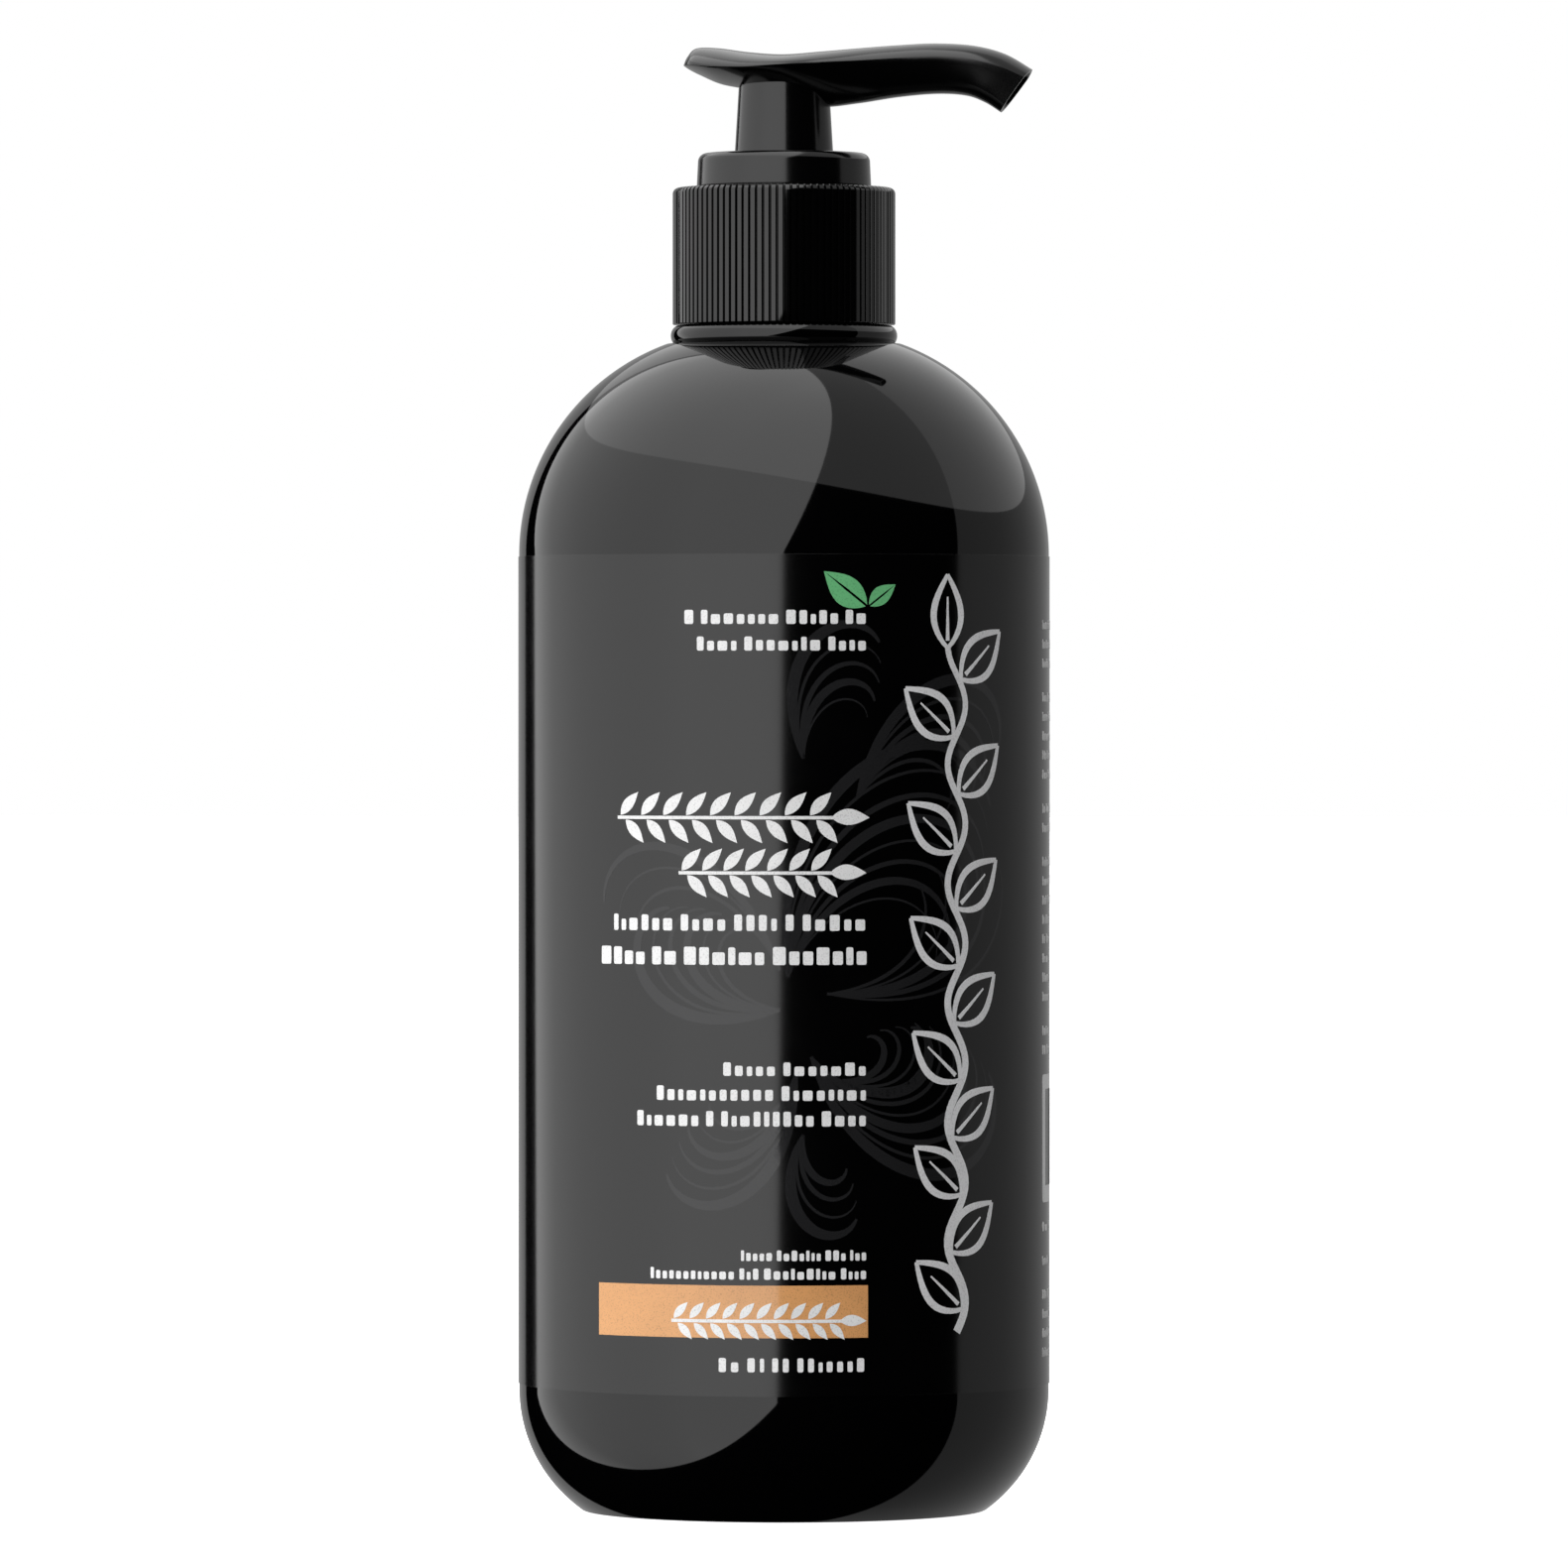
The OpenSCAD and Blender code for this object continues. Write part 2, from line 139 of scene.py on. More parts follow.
class Finishes(bpy.types.PropertyGroup):
    """Colours of the plastics, the inks and the metals."""

    bottle: colour("Bottle", "Black of the bottle", (0.0007, 0.0007, 0.0008))
    film: colour("Label film", "Black of the label", (0.0009, 0.0009, 0.001))
    pump: colour("Pump", "Black of the collar, chaplet and head", (0.001, 0.001, 0.0011))
    white_ink: colour("White ink", "Ink of the label's rows", (0.93, 0.93, 0.93))
    tan_ink: colour("Tan ink", "Ink of the band", (0.78, 0.385, 0.15))
    green_ink: colour("Green ink", "Ink of the two leaves", (0.17, 0.56, 0.24))
    grey_ink: colour("Grey ink", "Ink of the climbing sprig", (0.9, 0.9, 0.91))
    faint_ink: colour("Faint ink", "Ink of the scrolls behind the rows", (0.017, 0.017, 0.018))
    natural: colour("Natural plastic", "Plastic of the pump's inner parts", (0.78, 0.77, 0.72))
    steel: colour("Steel", "Steel of the ball and the spring", (0.62, 0.63, 0.65))


class Studio(bpy.types.PropertyGroup):
    """Camera and lights."""

    lens: number("Lens", "Focal length in millimetres on a 36 mm sensor", 278.5)
    distance: length("Distance", "Distance from the camera to the bottle's axis", 1.580)
    turn: angle("Turn", "Angle of the camera from the front towards the spout", 6.5)
    eye: length("Eye height", "Height of the camera", 0.1059)
    aim: length("Aim height", "Height of the point the camera looks at", 0.0945)
    side_light: number("Side light", "Radiance of the big light on the left", 1.58)
    top_light: number("Top light", "Radiance of the light overhead", 0.54)
    back_light: number("Back light", "Radiance of the light behind on the right", 0.39)


SETTINGS = {"oil_bottle": BottleSizes, "oil_label": LabelSizes, "oil_pump": PumpSizes,
            "oil_finish": Finishes, "oil_studio": Studio}


# -------- shapes


def arc(cx, cz, r, start, end, steps):
    """Points along an arc, both ends included; angles in degrees."""
    angles = [math.radians(start + (end - start) * i / steps) for i in range(steps + 1)]
    return [(cx + r * math.cos(a), cz + r * math.sin(a)) for a in angles]


def smooth(mesh, crease):
    """Smooth shading with sharp edges where faces meet at more than the crease angle, in degrees."""
    mesh.polygons.foreach_set("use_smooth", [True] * len(mesh.polygons))
    mesh.set_sharp_from_angle(angle=math.radians(crease))


def finish_mesh(name, bm, crease=40.0):
    """Turns a bmesh into a smooth-shaded object with sharp creases."""
    bmesh.ops.remove_doubles(bm, verts=bm.verts, dist=1e-7)
    bmesh.ops.recalc_face_normals(bm, faces=bm.faces)
    mesh = bpy.data.meshes.new(name)
    bm.to_mesh(mesh)
    bm.free()
    smooth(mesh, crease)
    piece = bpy.data.objects.new(name, mesh)
    bpy.context.scene.collection.objects.link(piece)
    return piece


def around(r, a, z):
    """The point at a radius, an angle and a height."""
    return r * math.cos(a), r * math.sin(a), z


def grid_faces(bm, rings, closed=True):
    """Quads between rings of vertices; the rings are closed, or open strips."""
    count = len(rings[0])
    for low, high in zip(rings, rings[1:]):
        for i in range(count if closed else count - 1):
            j = (i + 1) % count
            bm.faces.new([low[i], low[j], high[j], high[i]])


def lathe(bm, profile, angles, ridge=None):
    """Turns a closed profile of (r, z) points; ridge adds to r at an angle and height."""
    poles = {k: bm.verts.new((0, 0, z)) for k, (r, z) in enumerate(profile) if r < 1e-9}
    columns = []
    for a in angles:
        column = []
        for k, (r, z) in enumerate(profile):
            out = r + (ridge(a, r, z) if ridge else 0)
            column.append(poles.get(k) or bm.verts.new(around(out, a, z)))
        columns.append(column)
    for here, there in zip(columns, columns[1:] + columns[:1]):
        for k in range(len(profile)):
            m = (k + 1) % len(profile)
            corners = list(dict.fromkeys([here[k], there[k], there[m], here[m]]))
            if len(corners) > 2:
                bm.faces.new(corners)


def even_angles(count):
    return [2 * math.pi * i / count for i in range(count)]


def capped_tube(bm, rings):
    """A closed tube through rings of points."""
    made = [[bm.verts.new(p) for p in ring] for ring in rings]
    grid_faces(bm, made)
    bm.faces.new(list(reversed(made[0])))
    bm.faces.new(made[-1])


def tube_piece(name, rings, crease=40.0):
    bm = bmesh.new()
    capped_tube(bm, rings)
    return finish_mesh(name, bm, crease)


def lathe_piece(name, profile, count):
    bm = bmesh.new()
    lathe(bm, profile, even_angles(count))
    return finish_mesh(name, bm)


THREAD_HEIGHT, THREAD_SUNK = 1.1 * MM, 0.25 * MM
THREAD_DROP = 2.2 * MM


def thread_ridge(bm, root, side, low, pitch, turns):
    """A helical ridge that runs out at both ends; side is 1 outwards and -1 inwards."""
    a_turn = 72
    steps, runout = int(turns * a_turn), a_turn / 8
    rings = []
    for i in range(steps + 1):
        a, z = 2 * math.pi * i / a_turn, low + pitch * i / a_turn
        height = THREAD_HEIGHT * max(0.1, min(1, i / runout, (steps - i) / runout))
        flank = [(-THREAD_SUNK, 0.85 * MM), (0.8 * height, 0.52 * MM), (height, 0.3 * MM)]
        section = [(out, -half) for out, half in flank] + flank[::-1]
        rings.append([around(root + side * out, a, z + up) for out, up in section])
    capped_tube(bm, rings)


def through(rows, place):
    """A smooth curve through rows of numbers; whole places are the rows themselves."""
    last = len(rows) - 1
    i = min(int(place), last - 1)
    u = place - i
    a, b, c, d = rows[max(i - 1, 0)], rows[i], rows[i + 1], rows[min(i + 2, last)]
    return [0.5 * (2 * q + (r - p) * u + (2 * p - 5 * q + 4 * r - s) * u * u
                   + (3 * q - p - 3 * r + s) * u ** 3) for p, q, r, s in zip(a, b, c, d)]


def apply_boolean(piece, tool, operation):
    """Joins or cuts one piece with another, which is then removed."""
    modifier = piece.modifiers.new("cut", "BOOLEAN")
    modifier.operation = operation
    modifier.solver = "EXACT"
    modifier.object = tool
    bpy.context.view_layer.update()
    shape = piece.evaluated_get(bpy.context.evaluated_depsgraph_get())
    mesh = bpy.data.meshes.new_from_object(shape)
    piece.modifiers.clear()
    old = piece.data
    piece.data = mesh
    bpy.data.meshes.remove(old)
    bpy.data.meshes.remove(tool.data)


# -------- finishes


def add(tree, kind, **values):
    node = tree.nodes.new(kind)
    for key, value in values.items():
        setattr(node, key, value)
    return node


def set_inputs(node, **values):
    for key, value in values.items():
        node.inputs[key.replace("_", " ")].default_value = value
    return node


def noise(tree, vector, scale, detail=2.0, roughness=0.5):
    node = set_inputs(add(tree, "ShaderNodeTexNoise"), Scale=scale, Detail=detail, Roughness=roughness)
    tree.links.new(vector, node.inputs["Vector"])
    return node.outputs["Fac"]


def remap(tree, value, low, high, to_low=0.0, to_high=1.0):
    node = set_inputs(add(tree, "ShaderNodeMapRange"), From_Min=low, From_Max=high,
                      To_Min=to_low, To_Max=to_high)
    tree.links.new(value, node.inputs["Value"])
    return node.outputs["Result"]


def maths(tree, operation, a, b):
    node = add(tree, "ShaderNodeMath", operation=operation)
    for socket, value in zip(node.inputs, (a, b)):
        if isinstance(value, (int, float)):
            socket.default_value = value
        else:
            tree.links.new(value, socket)
    return node.outputs[0]


FLOAT, TINT = "NodeSocketFloat", "NodeSocketColor"
MIX_FACTOR, MIX_FIRST, MIX_SECOND, MIX_RESULT = 0, 6, 7, 2


def open_effect(name, **values):
    """A new node group with a colour and some values; returns it with its inputs and coordinates."""
    tree = bpy.data.node_groups.new(name, "ShaderNodeTree")
    for label, value in {"Colour": (0.5, 0.5, 0.5, 1), **values}.items():
        socket = tree.interface.new_socket(name=label.replace("_", " "), in_out="INPUT",
                                           socket_type=TINT if label == "Colour" else FLOAT)
        socket.default_value = value
    for label, kind in (("Colour", TINT), ("Roughness", FLOAT), ("Height", FLOAT)):
        tree.interface.new_socket(name=label, in_out="OUTPUT", socket_type=kind)
    return tree, add(tree, "NodeGroupInput").outputs, add(tree, "ShaderNodeTexCoord").outputs["Object"]


def close_effect(tree, given, blend, mask, rougher, height):
    """Ends a node group: a mask on the colour, something added to the roughness, and a height."""
    end = add(tree, "NodeGroupOutput").inputs
    mix = add(tree, "ShaderNodeMix", data_type="RGBA", blend_type=blend)
    mix.inputs[MIX_FACTOR].default_value = 1.0
    tree.links.new(given["Colour"], mix.inputs[MIX_FIRST])
    tree.links.new(mask, mix.inputs[MIX_SECOND])
    tree.links.new(mix.outputs[MIX_RESULT], end["Colour"])
    tree.links.new(maths(tree, "ADD", given["Roughness"], rougher), end["Roughness"])
    tree.links.new(height, end["Height"])
    return tree


def handled_gloss():
    """Moulded gloss: faint clouding, slow waves of the wall, and fine dust."""
    tree, given, place = open_effect("Handled gloss", Roughness=0.03, Smudge=0.02, Dust=0.004, Waviness=1.0)
    smudge = remap(tree, noise(tree, place, 90.0, 4.0, 0.6), 0.48, 0.75)
    specks = set_inputs(add(tree, "ShaderNodeTexVoronoi"), Scale=420.0)
    tree.links.new(place, specks.inputs["Vector"])
    speck = remap(tree, specks.outputs["Distance"], 0.05, 0.02)
    rare = remap(tree, noise(tree, place, 160.0), 0.6, 0.72)
    dust = maths(tree, "MULTIPLY", maths(tree, "MULTIPLY", speck, rare), given["Dust"])
    wave = maths(tree, "MULTIPLY", noise(tree, place, 55.0, 1.0, 0.4), given["Waviness"])
    return close_effect(tree, given, "ADD", dust, maths(tree, "MULTIPLY", smudge, given["Smudge"]), wave)


def film_skin():
    """Label film: the fine unevenness of glue and film, and a little clouding."""
    tree, given, place = open_effect("Film skin", Roughness=0.06, Cloud=0.02, Unevenness=1.0)
    cloud = noise(tree, place, 130.0, 3.0, 0.55)
    rougher = maths(tree, "MULTIPLY", remap(tree, cloud, 0.4, 0.75), given["Cloud"])
    fine = maths(tree, "MULTIPLY", noise(tree, place, 260.0), 0.35)
    uneven = maths(tree, "ADD", fine, noise(tree, place, 38.0, 1.0))
    return close_effect(tree, given, "MULTIPLY", remap(tree, cloud, 0.3, 0.7, 0.85, 1.15), rougher,
                        maths(tree, "MULTIPLY", uneven, given["Unevenness"]))


def press_ink():
    """Printed ink: tiny pinholes and a slow change of density."""
    tree, given, place = open_effect("Press ink", Thin_spots=0.25, Roughness=0.07)
    pinholes = remap(tree, noise(tree, place, 5200.0, 2.0, 0.6), 0.34, 0.46, 1.0, 0.0)
    density = remap(tree, noise(tree, place, 320.0, 3.0), 0.3, 0.7, 0.93, 1.0)
    whole = maths(tree, "SUBTRACT", 1.0, maths(tree, "MULTIPLY", pinholes, given["Thin spots"]))
    return close_effect(tree, given, "MULTIPLY", maths(tree, "MULTIPLY", density, whole),
                        maths(tree, "MULTIPLY", pinholes, 0.1), noise(tree, place, 38.0, 1.0))


def waxy_skin():
    """Unpainted plastic of inner parts: flow marks and a waxy bloom."""
    tree, given, place = open_effect("Waxy skin", Roughness=0.35, Bloom=0.1)
    stretch = set_inputs(add(tree, "ShaderNodeMapping"), Scale=(1.0, 1.0, 0.25))
    tree.links.new(place, stretch.inputs["Vector"])
    flow = noise(tree, stretch.outputs["Vector"], 420.0, 4.0, 0.6)
    return close_effect(tree, given, "MULTIPLY", remap(tree, flow, 0.3, 0.7, 0.92, 1.02),
                        maths(tree, "MULTIPLY", flow, given["Bloom"]), noise(tree, place, 1600.0))


def drawn_steel():
    """Polished or drawn steel: fine marks and a slight change of tone."""
    tree, given, place = open_effect("Drawn steel", Roughness=0.2, Marks=0.12)
    marks = noise(tree, place, 2600.0, 5.0, 0.7)
    return close_effect(tree, given, "MULTIPLY", remap(tree, marks, 0.3, 0.7, 0.86, 1.05),
                        maths(tree, "MULTIPLY", marks, given["Marks"]), marks)


EFFECTS = {"Handled gloss": handled_gloss, "Film skin": film_skin, "Press ink": press_ink,
           "Waxy skin": waxy_skin, "Drawn steel": drawn_steel}


def effect(name):
    return bpy.data.node_groups.get(name) or EFFECTS[name]()


def finish(name, effect_name, tint, bump, shader=None, **values):
    """A material: one effect group, a bump and a Principled shader with its own constants."""
    found = bpy.data.materials.get(name)
    if found:
        return found
    made = bpy.data.materials.new(name)
    made.use_nodes = True
    tree = made.node_tree
    surface = set_inputs(tree.nodes["Principled BSDF"], **(shader or {}))
    node = add(tree, "ShaderNodeGroup", node_tree=effect(effect_name))
    set_inputs(node, Colour=(*tint, 1.0), **values)
    tree.links.new(node.outputs["Colour"], surface.inputs["Base Color"])
    tree.links.new(node.outputs["Roughness"], surface.inputs["Roughness"])
    relief = set_inputs(add(tree, "ShaderNodeBump"), Strength=1.0, Distance=bump)
    tree.links.new(node.outputs["Height"], relief.inputs["Height"])
    tree.links.new(relief.outputs["Normal"], surface.inputs["Normal"])
    made.diffuse_color = (*tint, 1.0)
    return made


def black_gloss(name, tint, roughness, smudge, bump, ior=1.57):
    return finish(name, "Handled gloss", tint, bump, {"IOR": ior}, Roughness=roughness, Smudge=smudge)


def ink_finish(name, tint, thin=0.25):
    return finish(name, "Press ink", tint, 0.000003, {"IOR": 1.57}, Thin_spots=thin, Roughness=0.075)


def natural_finish(name, tint, roughness=0.35):
    return finish(name, "Waxy skin", tint, 0.000004, {"IOR": 1.5, "Subsurface Weight": 0.15,
                  "Subsurface Radius": (0.001, 0.001, 0.001), "Subsurface Scale": 1.0}, Roughness=roughness)


def steel_finish(name, tint, roughness, marks):
    return finish(name, "Drawn steel", tint, 0.0000015, {"Metallic": 1.0}, Roughness=roughness, Marks=marks)


def place_piece(piece, body, material, slot, *nodes):
    """Gives a piece its material, body and the CAD nodes it stands for; the record slot is not used."""
    piece.data.materials.clear()
    piece.data.materials.append(material)
    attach(piece, body)
    if nodes:
        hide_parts(*nodes)


# -------- bottle


def bottle_profile(sizes):
    """The bottle's closed outline: base, heel, wall, shoulder, bead, neck, and back down inside."""
    heel_c, shoulder_c = BODY_R - sizes.heel_radius, BODY_R - sizes.shoulder_radius
    root_r, root_z = sizes.bead_radius - MM, sizes.neck_root
    shoulder_z = root_z - math.sqrt(sizes.shoulder_radius ** 2 - (root_r - shoulder_c) ** 2)
    foot_r, heel_z = sizes.foot_radius, sizes.heel_height
    foot_c = heel_c + math.sqrt((sizes.heel_radius - foot_r) ** 2 - (heel_z - foot_r) ** 2)
    foot_angle = -math.degrees(math.acos((foot_c - heel_c) / (sizes.heel_radius - foot_r)))
    top, floor_t, ledge = sizes.push_up, 1.4 * MM, 3.3 * MM

    def dome(thick):
        span = foot_c - ledge - thick / 2
        radius = (span ** 2 + top ** 2) / (2 * top)
        return radius, 90 - math.degrees(math.asin(span / radius))

    under_r, under_angle = dome(0)
    over_r, over_angle = dome(floor_t)
    gate = [(r * MM, top - drop * MM) for r, drop in ((0, 0.55), (1.0, 0.55), (1.3, 0.4), (1.45, 0.02))]
    points = gate + [p for p in arc(0, top - under_r, under_r, 90, under_angle, 28) if p[0] > 2 * MM]
    points += arc(foot_c, foot_r, foot_r, -90, foot_angle, 8)
    points += arc(heel_c, heel_z, sizes.heel_radius, foot_angle, 0, 56)[1:]
    points += [(BODY_R, heel_z + (shoulder_z - heel_z) * i / 40) for i in range(1, 40)]
    shoulder_end = math.degrees(math.acos((15.3 * MM - shoulder_c) / sizes.shoulder_radius))
    points += arc(shoulder_c, shoulder_z, sizes.shoulder_radius, 0, shoulder_end, 84)
    points += [(r * MM, root_z - drop * MM) for r, drop in ((14.8, 0.62), (14.45, 0.7), (14.3, 0.66))]
    bead_z, bead_top, bead_w = root_z + 0.55 * MM, root_z + 1.93 * MM, 1.15 * MM
    points += [(sizes.bead_radius - bead_w + r * bead_w, bead_z + z * (bead_top - bead_z))
               for r, z in arc(0, 0, 1, -54, 90, 24)]
    neck, bore, edge, inner_edge = sizes.neck_radius, sizes.bore_radius, 0.4 * MM, 0.3 * MM
    points += [(neck + edge, bead_top), (neck, bead_top + edge), (neck, LIP_Z - edge),
               (neck - 0.3 * edge, LIP_Z - 0.3 * edge), (neck - edge, LIP_Z),
               (bore + inner_edge, LIP_Z), (bore, LIP_Z - inner_edge), (bore, root_z + edge)]
    wall_r, inner_r = sizes.shoulder_radius - sizes.wall, sizes.heel_radius - sizes.wall
    roof = math.degrees(math.acos((bore + 2.4 * MM - shoulder_c) / wall_r))
    points += arc(shoulder_c, shoulder_z, wall_r, roof, 0, 36)
    points += [(BODY_R - sizes.wall, z) for z in (0.1, 0.08, 0.06, 0.04)]
    low = -math.degrees(math.asin((heel_z - floor_t) / inner_r))
    points += arc(heel_c, heel_z, inner_r, 0, low, 24)
    points += arc(0, top + floor_t - over_r, over_r, over_angle, 90, 14)[:-1]
    return points + [(0, top + floor_t)]


# The mould's parting lines: how wide round the bottle, and the radius from which they show.
SEAM_WIDTH, SEAM_START = math.radians(0.16), 16 * MM


def seam_angles(count):
    """Even angles, with close ones at the mould's two parting lines."""
    close = [line + SEAM_WIDTH * place * side
             for line in (0, math.pi) for side in (-1, 1) for place in (0.65, 1.3, 2.2, 3, 3.8)]
    return sorted({round(a % (2 * math.pi), 9) for a in even_angles(count) + close})


class OILBOTTLE_OT_bottle(bpy.types.Operator):
    """Builds the blow-moulded bottle with its neck, thread, mould seam and gate mark"""

    bl_idname = "oilbottle.bottle"
    bl_label = "Bottle"

    def execute(self, context):
        sizes, tones = context.scene.oil_bottle, context.scene.oil_finish

        def seam(a, r, z):
            off = abs((a + math.pi / 2) % math.pi - math.pi / 2)
            shown = r > SEAM_START and not LABEL_LOW <= z <= LABEL_HIGH
            return sizes.seam_height * math.exp(-(off / SEAM_WIDTH) ** 2) if shown else 0

        bm = bmesh.new()
        lathe(bm, bottle_profile(sizes), seam_angles(320), seam)
        pitch, turns = sizes.thread_pitch, 1.5
        thread_ridge(bm, sizes.neck_radius, 1, LIP_Z - THREAD_DROP - turns * pitch, pitch, turns)
        piece = finish_mesh("bottle_shell", bm)
        gloss = black_gloss("Bottle gloss", tones.bottle, 0.04, 0.012, 0.000004, 1.5)
        place_piece(piece, "container", gloss, "bottle_black", "bottle")
        return {"FINISHED"}


# -------- label


class OILBOTTLE_OT_label(bpy.types.Operator):
    """Builds the wrap label film with its eased edges and the gap at the back"""

    bl_idname = "oilbottle.label"
    bl_label = "Wrap label"

    def execute(self, context):
        sizes, tones = context.scene.oil_label, context.scene.oil_finish
        inner, edge = LABEL_R - sizes.film, 0.006 * MM
        rise = LABEL_HIGH - LABEL_LOW
        profile = [(inner, LABEL_LOW), (LABEL_R - edge, LABEL_LOW)]
        profile += [(LABEL_R, LABEL_LOW + edge + (rise - 2 * edge) * i / 24) for i in range(25)]
        profile += [(LABEL_R - edge, LABEL_HIGH), (inner, LABEL_HIGH)]
        start, sweep, steps = math.pi / 2 + sizes.gap / 2, 2 * math.pi - sizes.gap, 360
        angles = [start + sweep * i / steps for i in range(steps + 1)]
        rings = [[around(r, a, z) for r, z in profile] for a in angles]
        piece = tube_piece("wrap_label_film", rings)
        film = finish("Label film", "Film skin", tones.film, 0.000005, {"IOR": 1.57},
                      Roughness=0.115, Cloud=0.015)
        place_piece(piece, "container", film, "label_film", "wrap_label")
        return {"FINISHED"}


INK_SUNK, INK_STEP, INK_SLICE = 0.01 * MM, 0.002 * MM, 1.0 * MM


def print_sheet(name, shapes, ink, turn, lift):
    """Closed sheets of ink on the label, from flat shapes of (s, z) points in millimetres.

    A shape is an outline, or the two sides of a stroke. Shapes that cross differ a little in height.
    The place s runs along the film from its front line towards the spout.
    """
    bm = bmesh.new()
    for k, shape in enumerate(shapes):
        sides = shape if isinstance(shape, tuple) else (shape,)
        made = [[bm.verts.new((s * MM, z * MM, INK_STEP * (k % 3))) for s, z in side] for side in sides]
        if len(made) == 1:
            bm.faces.new(made[0])
        grid_faces(bm, made, closed=False)
    bmesh.ops.triangulate(bm, faces=bm.faces)
    places = [v.co.x / INK_SLICE for v in bm.verts]
    for k in range(math.ceil(min(places)), math.floor(max(places)) + 1):
        bmesh.ops.bisect_plane(bm, geom=bm.verts[:] + bm.edges[:] + bm.faces[:], dist=1e-9,
                               plane_co=(k * INK_SLICE, 0, 0), plane_no=(1, 0, 0))
    made = bmesh.ops.extrude_face_region(bm, geom=bm.faces[:], use_keep_orig=True)
    tops = {v for v in made["geom"] if isinstance(v, bmesh.types.BMVert)}
    for v in bm.verts:
        r = LABEL_R + lift + (ink + v.co.z if v in tops else -INK_SUNK)
        v.co = around(r, FRONT + turn + v.co.x / LABEL_R, v.co.y)
    return finish_mesh(name, bm, 50.0)


def bar(s0, s1, z0, z1, corner):
    """A bar with rounded corners."""
    points = []
    for s, z, start in ((s1 - corner, z1 - corner, 0), (s0 + corner, z1 - corner, 90),
                        (s0 + corner, z0 + corner, 180), (s1 - corner, z0 + corner, 270)):
        points += arc(s, z, corner, start, start + 90, 5)
    return points


def turned(points, s, z, heading):
    """Points moved to (s, z) and turned by a heading in degrees from +s."""
    c, d = math.cos(math.radians(heading)), math.sin(math.radians(heading))
    return [(s + u * c - v * d, z + u * d + v * c) for u, v in points]


def swell(t):
    """How wide a leaf is along its length, from 0 to 1."""
    return math.sin(math.pi * t ** 0.85)


def leaf(s, z, heading, long, wide, vein=0.0):
    """Two halves of a pointed leaf on either side of its vein; the lower one is narrower."""
    halves = []
    for side, share in ((1, 1), (-1, 0.82)):
        points = [(0.0, side * vein / 2)]
        points += [(long * t, side * (vein / 2 * (1 - t) + swell(t) * wide / 2 * share))
                   for t in (i / 12 for i in range(1, 12))]
        points += [(long, 0.0), (long * 0.5, side * vein / 2)]
        halves.append(turned(points[::side], s, z, heading))
    return halves


def stroke(line, width):
    """The two sides of a stroke along a line; width is a function of the place, 0 to 1."""
    left, right = [], []
    for i, (s, z) in enumerate(line):
        before, after = line[max(i - 1, 0)], line[min(i + 1, len(line) - 1)]
        ds, dz = after[0] - before[0], after[1] - before[1]
        size = math.hypot(ds, dz)
        half = width(i / (len(line) - 1)) / 2
        left.append((s - dz / size * half, z + ds / size * half))
        right.append((s + dz / size * half, z - ds / size * half))
    return left, right


def plume(s, z, heading, long, curl, late, strands, fan):
    """Strands that leave one root in a fan and curl inside each other, tighter towards their tips."""
    side, steps, shapes = math.copysign(1, curl), 44, []
    for j in range(strands):
        u = j / (strands - 1)
        a, step = math.radians(heading + side * fan * (u - 0.5)), long * (1 - 0.45 * u) / steps
        points = [(s, z)]
        for i in range(steps):
            a += math.radians(curl) / steps * (1 + late * (i / steps) ** 2) / (1 + late / 3)
            points.append((points[-1][0] + math.cos(a) * step, points[-1][1] + math.sin(a) * step))
        heavy = (1.5, 0.4, 0.8)[j % 3] * (1 - 0.4 * u)
        shapes.append(stroke(points, lambda t: heavy * math.sin(math.pi * (0.06 + 0.9 * t)) ** 0.8 + 0.05))
    return shapes


def word_row(s0, s1, z0, z1, words, heavy):
    """A row of small blocks that ends at s1; words are the numbers of blocks in each run."""
    rng = random.Random(round(1000 * z0) + len(words))
    sizes = [[rng.choice((0.7, 0.9, 1.0, 1.0, 1.25)) for _ in range(n)] for n in words]
    gap, space = 0.34, 0.85
    unit = (s1 - s0) / (sum(sum(w) + gap * (len(w) - 1) for w in sizes) + space * (len(words) - 1))
    low, blocks, s = z0 + (z1 - z0) * 0.18, [], s0
    for word in sizes:
        for k, wide in enumerate(word):
            tall = (z1 - z0) * (0.72 if k == 0 else rng.choice((0.5, 0.5, 0.54, 0.7)))
            thin = min(wide * unit, (0.55 + 0.45 * heavy) * wide * unit)
            blocks.append(bar(s, s + thin, low, low + tall, min(0.24, thin * 0.3)))
            s += (wide + gap) * unit
        s += (space - gap) * unit
    return blocks


def garland(s0, s1, z0, z1):
    """A row of leaf pairs along a stem, ending in one leaf at the right."""
    mid, rise = (z0 + z1) / 2, z1 - z0
    pairs = round((s1 - s0) / (rise * 0.56))
    pitch = (s1 - s0 - rise * 0.75) / pairs
    shapes = [stroke([(s0 + (s1 - s0 - rise * 0.5) * i / 24, mid) for i in range(25)], lambda t: 0.42)]
    for k in range(pairs):
        s = s0 + pitch * (k + 0.15)
        for up, back in ((1, 0.0), (-1, 0.12)):
            shapes += leaf(s + back * rise, mid + 0.3 * up, up * 47, rise * 0.6, rise * 0.25)
    shapes += leaf(s1 - rise * 0.75, mid, 0, rise * 0.75, rise * 0.34)
    return shapes


